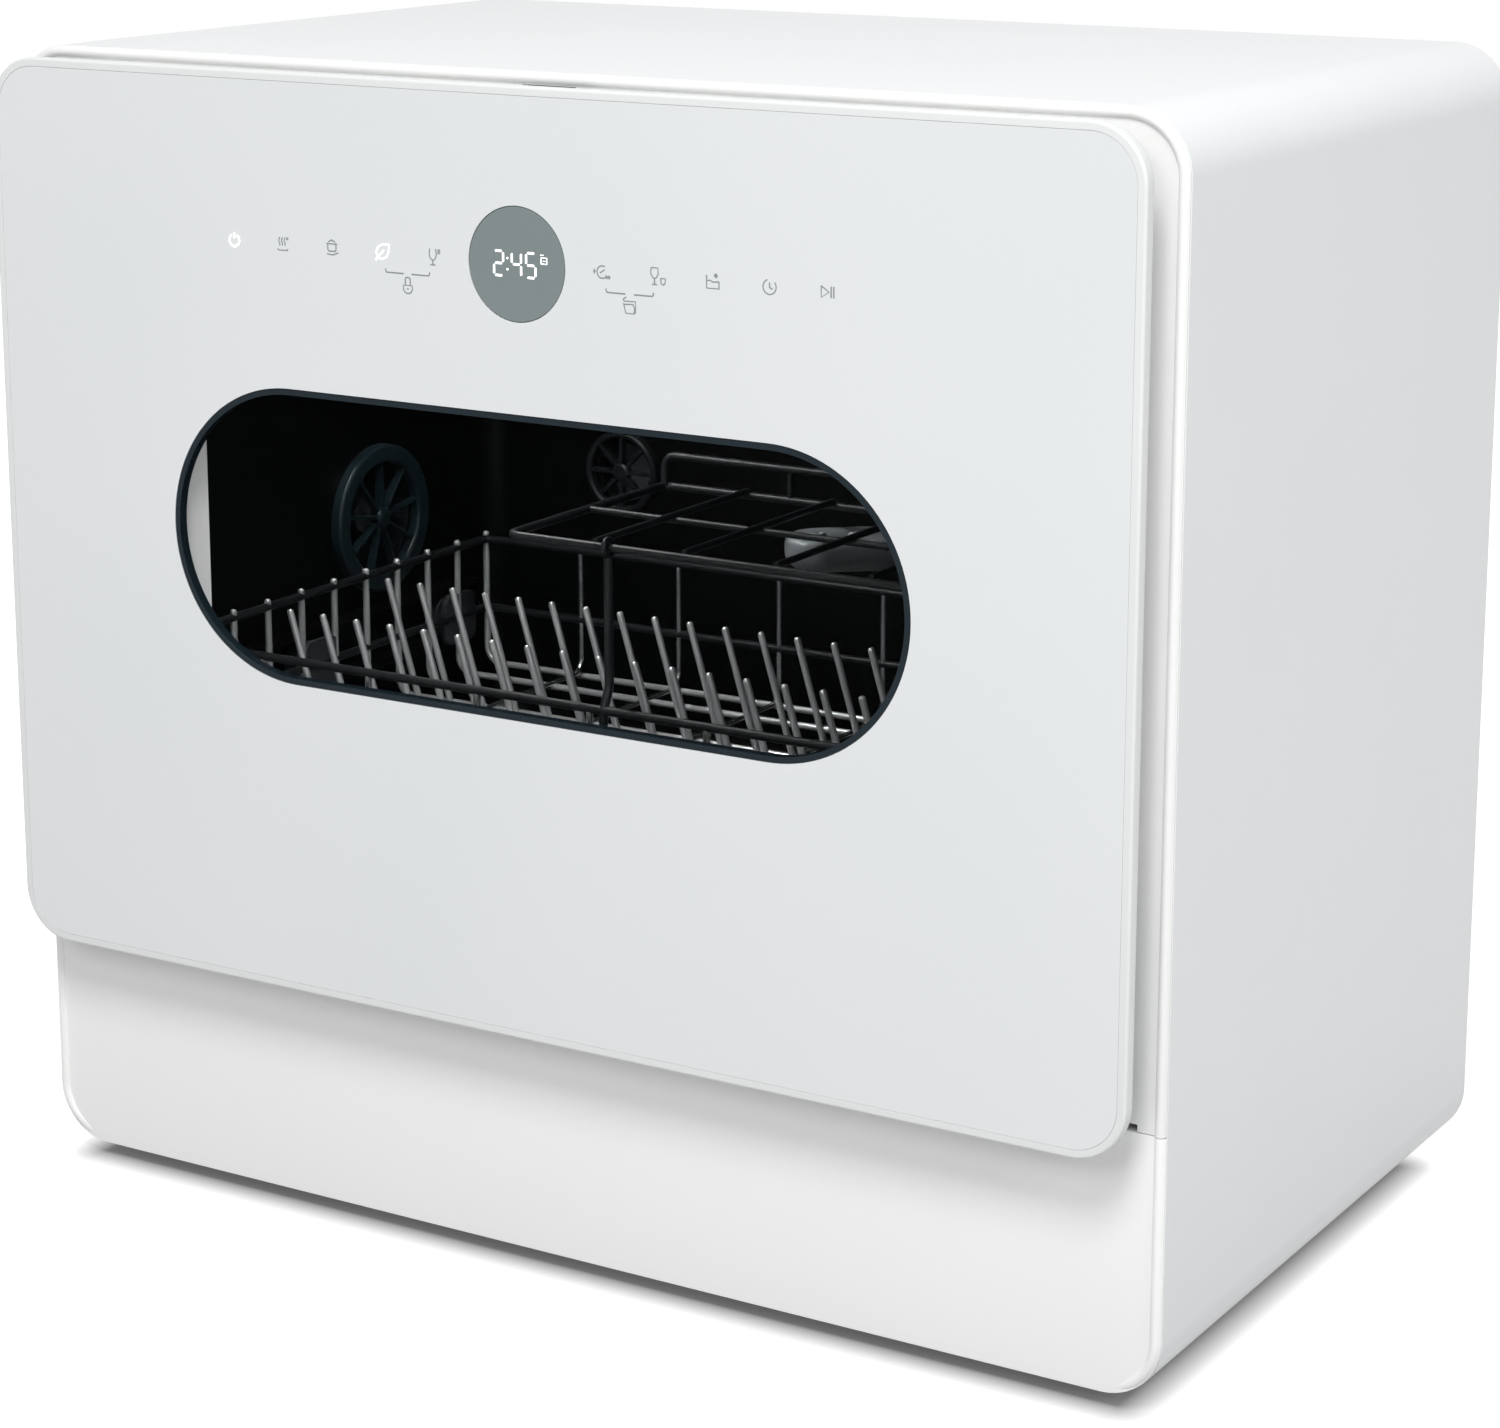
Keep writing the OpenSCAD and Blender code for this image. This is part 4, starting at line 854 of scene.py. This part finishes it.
# %% Posts, eyes and roller plates
SHELF_Y, SHELF_Z = -0.105, 0.268
ROLLERS_Y = (-0.011, 0.086)
ROLLER_Z = 0.178
posts = []
for x in (0.006, 0.182):
    posts.append(wire("post", [(x, RACK_Y0, RACK_TOP - 20 * MM), (x, RACK_Y0, RACK_TOP), (x, SHELF_Y, RACK_TOP + 8 * MM), (x, SHELF_Y, SHELF_Z - 3 * MM)], WIRE_R, 3 * MM))
    bpy.ops.object.select_all(action="DESELECT")
    bpy.ops.mesh.primitive_torus_add(major_segments=24, minor_segments=10, major_radius=2.95 * MM, minor_radius=1.2 * MM,
                                     location=(x, SHELF_Y, SHELF_Z), rotation=(0, math.pi / 2, 0))
    posts.append(settle("eye"))
posts = join("shelf_posts", posts)
soften(posts, 0, angle=60)
place(posts, "rack", dark_coat_and_shade, "rack_wire")

plates = []
for y in ROLLERS_Y:
    plate = block("plate", (RACK_X - 1.2 * MM, y - 11 * MM, ROLLER_Z - 11 * MM), (RACK_X + 1.3 * MM, y + 11 * MM, ROLLER_Z + 11 * MM))
    round_along(plate, 0, 5 * MM, 6)
    pin = turned("pin", [(0, 0), (4.5, 0), (4.5, 4.6), (2.5, 5), (2.5, 11.7), (4, 11.9), (4, 12.9), (3.2, 13.2), (0, 13.2)], (0, 0, 0), (1, 0, 0), 24)
    pin.data.transform(Matrix.Translation((RACK_X + 1 * MM, y, ROLLER_Z)) @ Matrix.Scale(MM, 4))
    plates += [plate, pin]
plates = join("plates_right", plates)
soften(plates, 0.3 * MM, 2)
plates = join("roller_plates", [plates, copied(plates, MIRROR_X)])
place(plates, "rack", dark_plastic, "rack_wire", "rack_left", "rack_right")

# %% Rollers
for number, y in enumerate(ROLLERS_Y):
    wheel = turned("wheel", [(2.55, 0), (4.4, 0), (4.4, 0.7), (7.2, 0.7), (7.2, 0), (8.4, 0), (9, 0.6), (9, 5.4), (8.4, 6), (7.2, 6), (7.2, 5.3), (4.4, 5.3), (4.4, 6), (2.55, 6), (2.55, 0)],
                   (0, 0, 0), (1, 0, 0), 40)
    wheel.data.transform(Matrix.Translation((0.204, y, ROLLER_Z)) @ Matrix.Scale(MM, 4))
    soften(wheel, 0, angle=40)
    wheels = join("rollers_%d" % number, [wheel, copied(wheel, MIRROR_X)])
    body = ("front_rollers", "rear_rollers")[number]
    place(wheels, body, dark_plastic, "grey_plastic", body)

# %% [markdown]
# The tines are short wires with polished, domed tips. They lean to the left, so that a plate
# standing between two of them rests on the lower one.

# %% Tines
LEAN = math.radians(17)
tine_top = (-58 * MM * math.sin(LEAN), 0, 58 * MM * math.cos(LEAN))
tine = wire("tine", [(0, 0, 0), tine_top], 1.4 * MM, sides=12, tip=0.95)
soften(tine, 0, angle=60)
tines = [shifted(tine, (-170 + 16.4 * i) * MM, y, RACK_Z) for y in (wires_y[3], wires_y[6]) for i in range(22)]
bpy.data.objects.remove(tine)
tines = join("rack_tine_rows", tines)
place(tines, "rack", vinyl_light, "rack_wire", "rack_tines")
print("Wires in the basket:", len(wires_x) + len(wires_y))

# %% Cup shelf
SHELF_R, FILL_R = 1.6 * MM, 1.3 * MM
low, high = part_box("cup_shelf")
x0, x1 = low.x + SHELF_R, high.x - SHELF_R
LIP_Z = SHELF_Z + 12 * MM
shelf = [loop("outline", x0, x1, SHELF_Y, 0, SHELF_Z, SHELF_R, 5 * MM)]
filler = wire("filler", [(0, SHELF_Y, SHELF_Z + SHELF_R), (0, 0, SHELF_Z + SHELF_R)], FILL_R)
shelf += [shifted(filler, x0 + (x1 - x0) * i / 6, 0, 0) for i in range(1, 6)]
bpy.data.objects.remove(filler)
shelf.append(wire("middle", [(x0, SHELF_Y / 2, SHELF_Z), (x1, SHELF_Y / 2, SHELF_Z)], FILL_R))
lip_x0, lip_x1 = low.x + 2 * MM, high.x - 2 * MM
shelf.append(wire("lip", [(lip_x0, 0, SHELF_Z), (lip_x0, 0, LIP_Z), (lip_x1, 0, LIP_Z), (lip_x1, 0, SHELF_Z)], SHELF_R, 5 * MM))
upright = wire("upright", [(0, 0, SHELF_Z), (0, 0, LIP_Z)], FILL_R)
shelf += [shifted(upright, lip_x0 + (lip_x1 - lip_x0) * i / 4, 0, 0) for i in (1, 2, 3)]
bpy.data.objects.remove(upright)
shelf = join("shelf_wires", shelf)
soften(shelf, 0, angle=60)
place(shelf, "cup_shelf", dark_coat_and_shade, "rack_wire", "cup_shelf")

# %% [markdown]
# ## Spray arms
# A spray arm is two thin mouldings welded together: a flat underside and a crowned top with raised
# nozzles. It starts as a rounded bar, gets a wide hub, and its long edges are bevelled deep.

# %% Spray arms
ARM_T = 13 * MM
NOZZLES = (0.45, 0.65, 0.84)


def spray_arm(name, reach, tip_r, centre, turn, body, node):
    bar_piece = block("blade", (-reach, -tip_r, 0), (reach, tip_r, ARM_T))
    round_along(bar_piece, 2, tip_r - 1e-5, 14)
    open_faces(bar_piece, lambda c, n: True)
    bpy.ops.mesh.remove_doubles(threshold=1e-4)
    close()
    open_edges(bar_piece, lambda a, b: min(a.z, b.z) > ARM_T - 1e-5)
    bpy.ops.mesh.bevel(offset=3.6 * MM, offset_type="OFFSET", segments=5, profile=0.5)
    close()
    open_edges(bar_piece, lambda a, b: max(a.z, b.z) < 1e-5)
    bpy.ops.mesh.bevel(offset=6.5 * MM, offset_type="OFFSET", segments=6, profile=0.5)
    close()
    hub = turned("hub", [(9.0, 0), (17.9, 0), (17.9, 9), (16, 11.8), (13, 13), (9.0, 13), (9.0, 0)], (0, 0, 0), (0, 0, 1), 48)
    hub.data.transform(Matrix.Scale(MM, 4))
    cut(bar_piece, turned("bore", [(0, -0.01), (0.009, -0.01), (0.009, 0.03), (0, 0.03)], (0, 0, 0), (0, 0, 1), 48))
    soften(bar_piece, 0.5 * MM, 2)
    soften(hub, 0.3 * MM, 2)
    nozzles = []
    for side in (-1, 1):
        for share in NOZZLES:
            nozzle = turned("nozzle", [(0, -1), (1.0, -1), (1.0, 0.7), (1.6, 1.2), (2.6, 1.2), (3.4, 0.2), (3.4, -0.4)], (0, 0, 0), (0, 0, 1), 24)
            nozzle.data.transform(Matrix.Translation((side * share * reach, side * 3 * MM, ARM_T)) @ Matrix.Scale(MM, 4))
            soften(nozzle, 0, angle=50)
            nozzles.append(nozzle)
    arm = join(name, [bar_piece, hub] + nozzles)
    arm.data.transform(Matrix.Translation(centre) @ Matrix.Rotation(math.radians(turn), 4, "Z"))
    return place(arm, body, grey_plastic, "grey_plastic", node)


spray_arm("lower_arm_blade", 0.1075, 13 * MM, (0, 0.0035, 0.1238), 25, "lower_arm", "lower_spray_arm")
spray_arm("upper_arm_blade", 0.075, 14 * MM, (0.085, 0.030, 0.246), 40, "upper_arm", "upper_spray_arm")

# %% Round vents
def spoked(name, radius, ring, hub, spokes, spoke_w, depth):
    """A round grille facing +X: a rounded ring, a domed hub and flat spokes."""
    parts = [turned("ring", [(radius - ring, 0), (radius, 0), (radius, depth - 1 * MM), (radius - 1 * MM, depth), (radius - ring + 1 * MM, depth), (radius - ring, depth - 1 * MM), (radius - ring, 0)], (0, 0, 0), (1, 0, 0), 56),
             turned("hub", [(0, 0), (hub, 0), (hub, depth * 0.8), (hub * 0.7, depth), (0, depth)], (0, 0, 0), (1, 0, 0), 32)]
    for i in range(spokes):
        spoke = block("spoke", (0, -spoke_w / 2, hub * 0.9), (depth * 0.75, spoke_w / 2, radius - ring + 0.5 * MM))
        spoke.data.transform(Matrix.Rotation(math.tau * i / spokes, 4, "X"))
        parts.append(spoke)
    return soften(join(name, parts), 0.25 * MM, 2)


grille = spoked("vent_ring", 31.4 * MM, 7.5 * MM, 4.5 * MM, 9, 1.3 * MM, 5 * MM)
grille.data.transform(Matrix.Translation(VENT))
place(grille, "case", teal_plastic, "dark_plastic", "vent_grille")
disc_cover = spoked("breather_ring", 18 * MM, 3 * MM, 4 * MM, 8, 1.8 * MM, 3.9 * MM)
disc_cover.data.transform(Matrix.Translation(BREATHER) @ Matrix.Rotation(-math.pi / 2, 4, "Z"))
place(disc_cover, "case", dark_coat_and_shade, "dark_plastic", "breather_cover")

# %% [markdown]
# ## The smaller mouldings
# Pumps, brackets and housings already have their right shape in the frame. A copy of each gets its
# points merged and its flat faces made whole, and then a small bevel, as any moulding has.

# %% Refined copies
def refined(node_name, width=0.4 * MM, material=None, angle=30):
    """A softened copy of a CAD node that stands for it."""
    source = frame["nodes"][node_name]
    body = body_of(source)[0]
    piece = source.copy()
    piece.data = source.data.copy()
    piece.parent = None
    bpy.context.collection.objects.link(piece)
    piece.name = piece.data.name = node_name + "_finished"
    open_faces(piece, lambda c, n: True)
    bpy.ops.mesh.remove_doubles(threshold=1e-6)
    bpy.ops.mesh.dissolve_limited(angle_limit=math.radians(1))
    close()
    soften(piece, width, 2, angle)
    return place(piece, body, material or finish_of[slot_of[node_name]], slot_of[node_name], node_name)


left_plain = ["rear_panel", "base_tray", "feet", "door_gasket", "rack_rails", "sump", "filter_plate", "hub_post", "wash_pump",
              "drain_pump", "water_heater", "feed_pipe", "circulation_hose", "drain_spigot", "inlet_valve", "softener_tank",
              "fan_housing", "power_board", "hinge_brackets", "hinge_pins", "latch_housing", "rear_screws", "cord_gland",
              "inner_pane", "pane_seal", "door_liner", "display_module", "touch_board", "hinge_arms", "dispenser_body",
              "latch_hook", "dispenser_lid", "rinse_cap", "open_pusher", "filter_cup", "salt_cap", "fan_impeller"]
for node_name in left_plain:
    refined(node_name, material=tub_black if node_name == "rack_rails" else None)
print("Refined:", len(left_plain))

# %% Floor, world and lights
bpy.ops.object.select_all(action="DESELECT")
bpy.ops.mesh.primitive_plane_add(size=8, location=(0, 0, 0))
floor = settle("floor")
# The floor's colour darkens towards the machine: a painted shadow round its base, which also throws less light up onto
# the plinth and the side.
floor_with_painted_shadow, tree, surface, coords = start_material("floor_painted_shadow", 0.9)
apart = add(tree, "VectorMath", {0: coords}, operation="ABSOLUTE")
apart = add(tree, "VectorMath", {0: apart.outputs[0], 1: (0.222, 0.125, 10)}, operation="SUBTRACT")
apart = add(tree, "VectorMath", {0: apart.outputs[0], 1: (0, 0, 0)}, operation="MAXIMUM")
apart = add(tree, "VectorMath", {0: apart.outputs[0]}, operation="LENGTH").outputs["Value"]
shade_ramp = add(tree, "MapRange", {"Value": apart, "From Min": 0.0, "From Max": 0.2, "To Min": 0.0, "To Max": 1.0}, interpolation_type="SMOOTHSTEP")
painted_shade_tone = add(tree, "Mix", {"Factor": shade_ramp.outputs["Result"]}, data_type="RGBA")
painted_shade_tone.inputs["A"].default_value = linear("8c8c8c")
painted_shade_tone.inputs["B"].default_value = linear("b8b8b8")
tree.links.new(painted_shade_tone.outputs["Result"], surface.inputs["Base Color"])
# The glow that makes the floor white for the camera fades out at the machine's edge, so a narrow painted contact shadow
# shows there.
far = add(tree, "MapRange", {"Value": apart, "From Min": 0.0, "From Max": 0.016, "To Min": 0.08, "To Max": 0.9}).outputs["Result"]
path = add(tree, "LightPath")
seen = add(tree, "Math", {0: path.outputs["Is Camera Ray"], 1: path.outputs["Is Glossy Ray"]}, operation="ADD", use_clamp=True)
seen = add(tree, "Math", {0: seen.outputs[0], 1: path.outputs["Is Transmission Ray"]}, operation="ADD", use_clamp=True)
glow = add(tree, "Emission", {"Color": (1, 1, 1, 1), "Strength": add(tree, "Math", {0: seen.outputs[0], 1: far}, operation="MULTIPLY").outputs[0]})
both = add(tree, "AddShader")
tree.links.new(surface.outputs[0], both.inputs[0])
tree.links.new(glow.outputs[0], both.inputs[1])
tree.links.new(both.outputs[0], tree.nodes["Material Output"].inputs["Surface"])
floor.data.materials.append(floor_with_painted_shadow)

world = bpy.data.worlds.new("studio")
bpy.context.scene.world = world
world.use_nodes = True
tree = world.node_tree
path = add(tree, "LightPath")
seen = add(tree, "Math", {0: path.outputs["Is Camera Ray"], 1: path.outputs["Is Glossy Ray"]}, operation="ADD", use_clamp=True)
seen = add(tree, "Math", {0: seen.outputs[0], 1: path.outputs["Is Transmission Ray"]}, operation="ADD", use_clamp=True)
power = add(tree, "MapRange", {"Value": seen.outputs[0], "To Min": 0.37, "To Max": 1.0})
tree.nodes["Background"].inputs["Color"].default_value = (1, 1, 1, 1)
tree.links.new(power.outputs["Result"], tree.nodes["Background"].inputs["Strength"])


def softbox(name, place_at, aim_at, size, watts):
    """A square area lamp that faces a point."""
    turn = (Vector(aim_at) - Vector(place_at)).to_track_quat("-Z", "Y").to_euler()
    bpy.ops.object.light_add(type="AREA", location=place_at, rotation=turn)
    lamp = bpy.context.object
    lamp.name = name
    lamp.data.size = size
    lamp.data.energy = watts
    return lamp


softbox("lamp_top", (0.0, -0.2, 2.2), (0, 0, 0.3), 1.6, 2)
softbox("lamp_key", (0.6, -1.35, 1.9), (0, 0, 0.25), 0.6, 25.5)
softbox("lamp_front", (0.4, -2.0, 1.3), (0, 0, 0.15), 0.6, 9)
softbox("lamp_side", (1.8, -0.8, 1.2), (0, 0, 0.3), 0.8, 7)
softbox("lamp_right", (1.5, 0.2, 0.9), (0.24, 0.1, 0.25), 0.4, 2.2)

# %% [markdown]
# The machine's own lamp sits under the tub's ceiling, just behind the door. Without it the dark
# inside would show nothing through the window.

# %% Lamp inside
inside = softbox("lamp_inside", (-0.10, -0.07, 0.415), (-0.02, 0.03, 0.2), 0.05, 1.0)
inside.data.shape = "RECTANGLE"
inside.data.size = 0.2
inside.data.size_y = 0.05
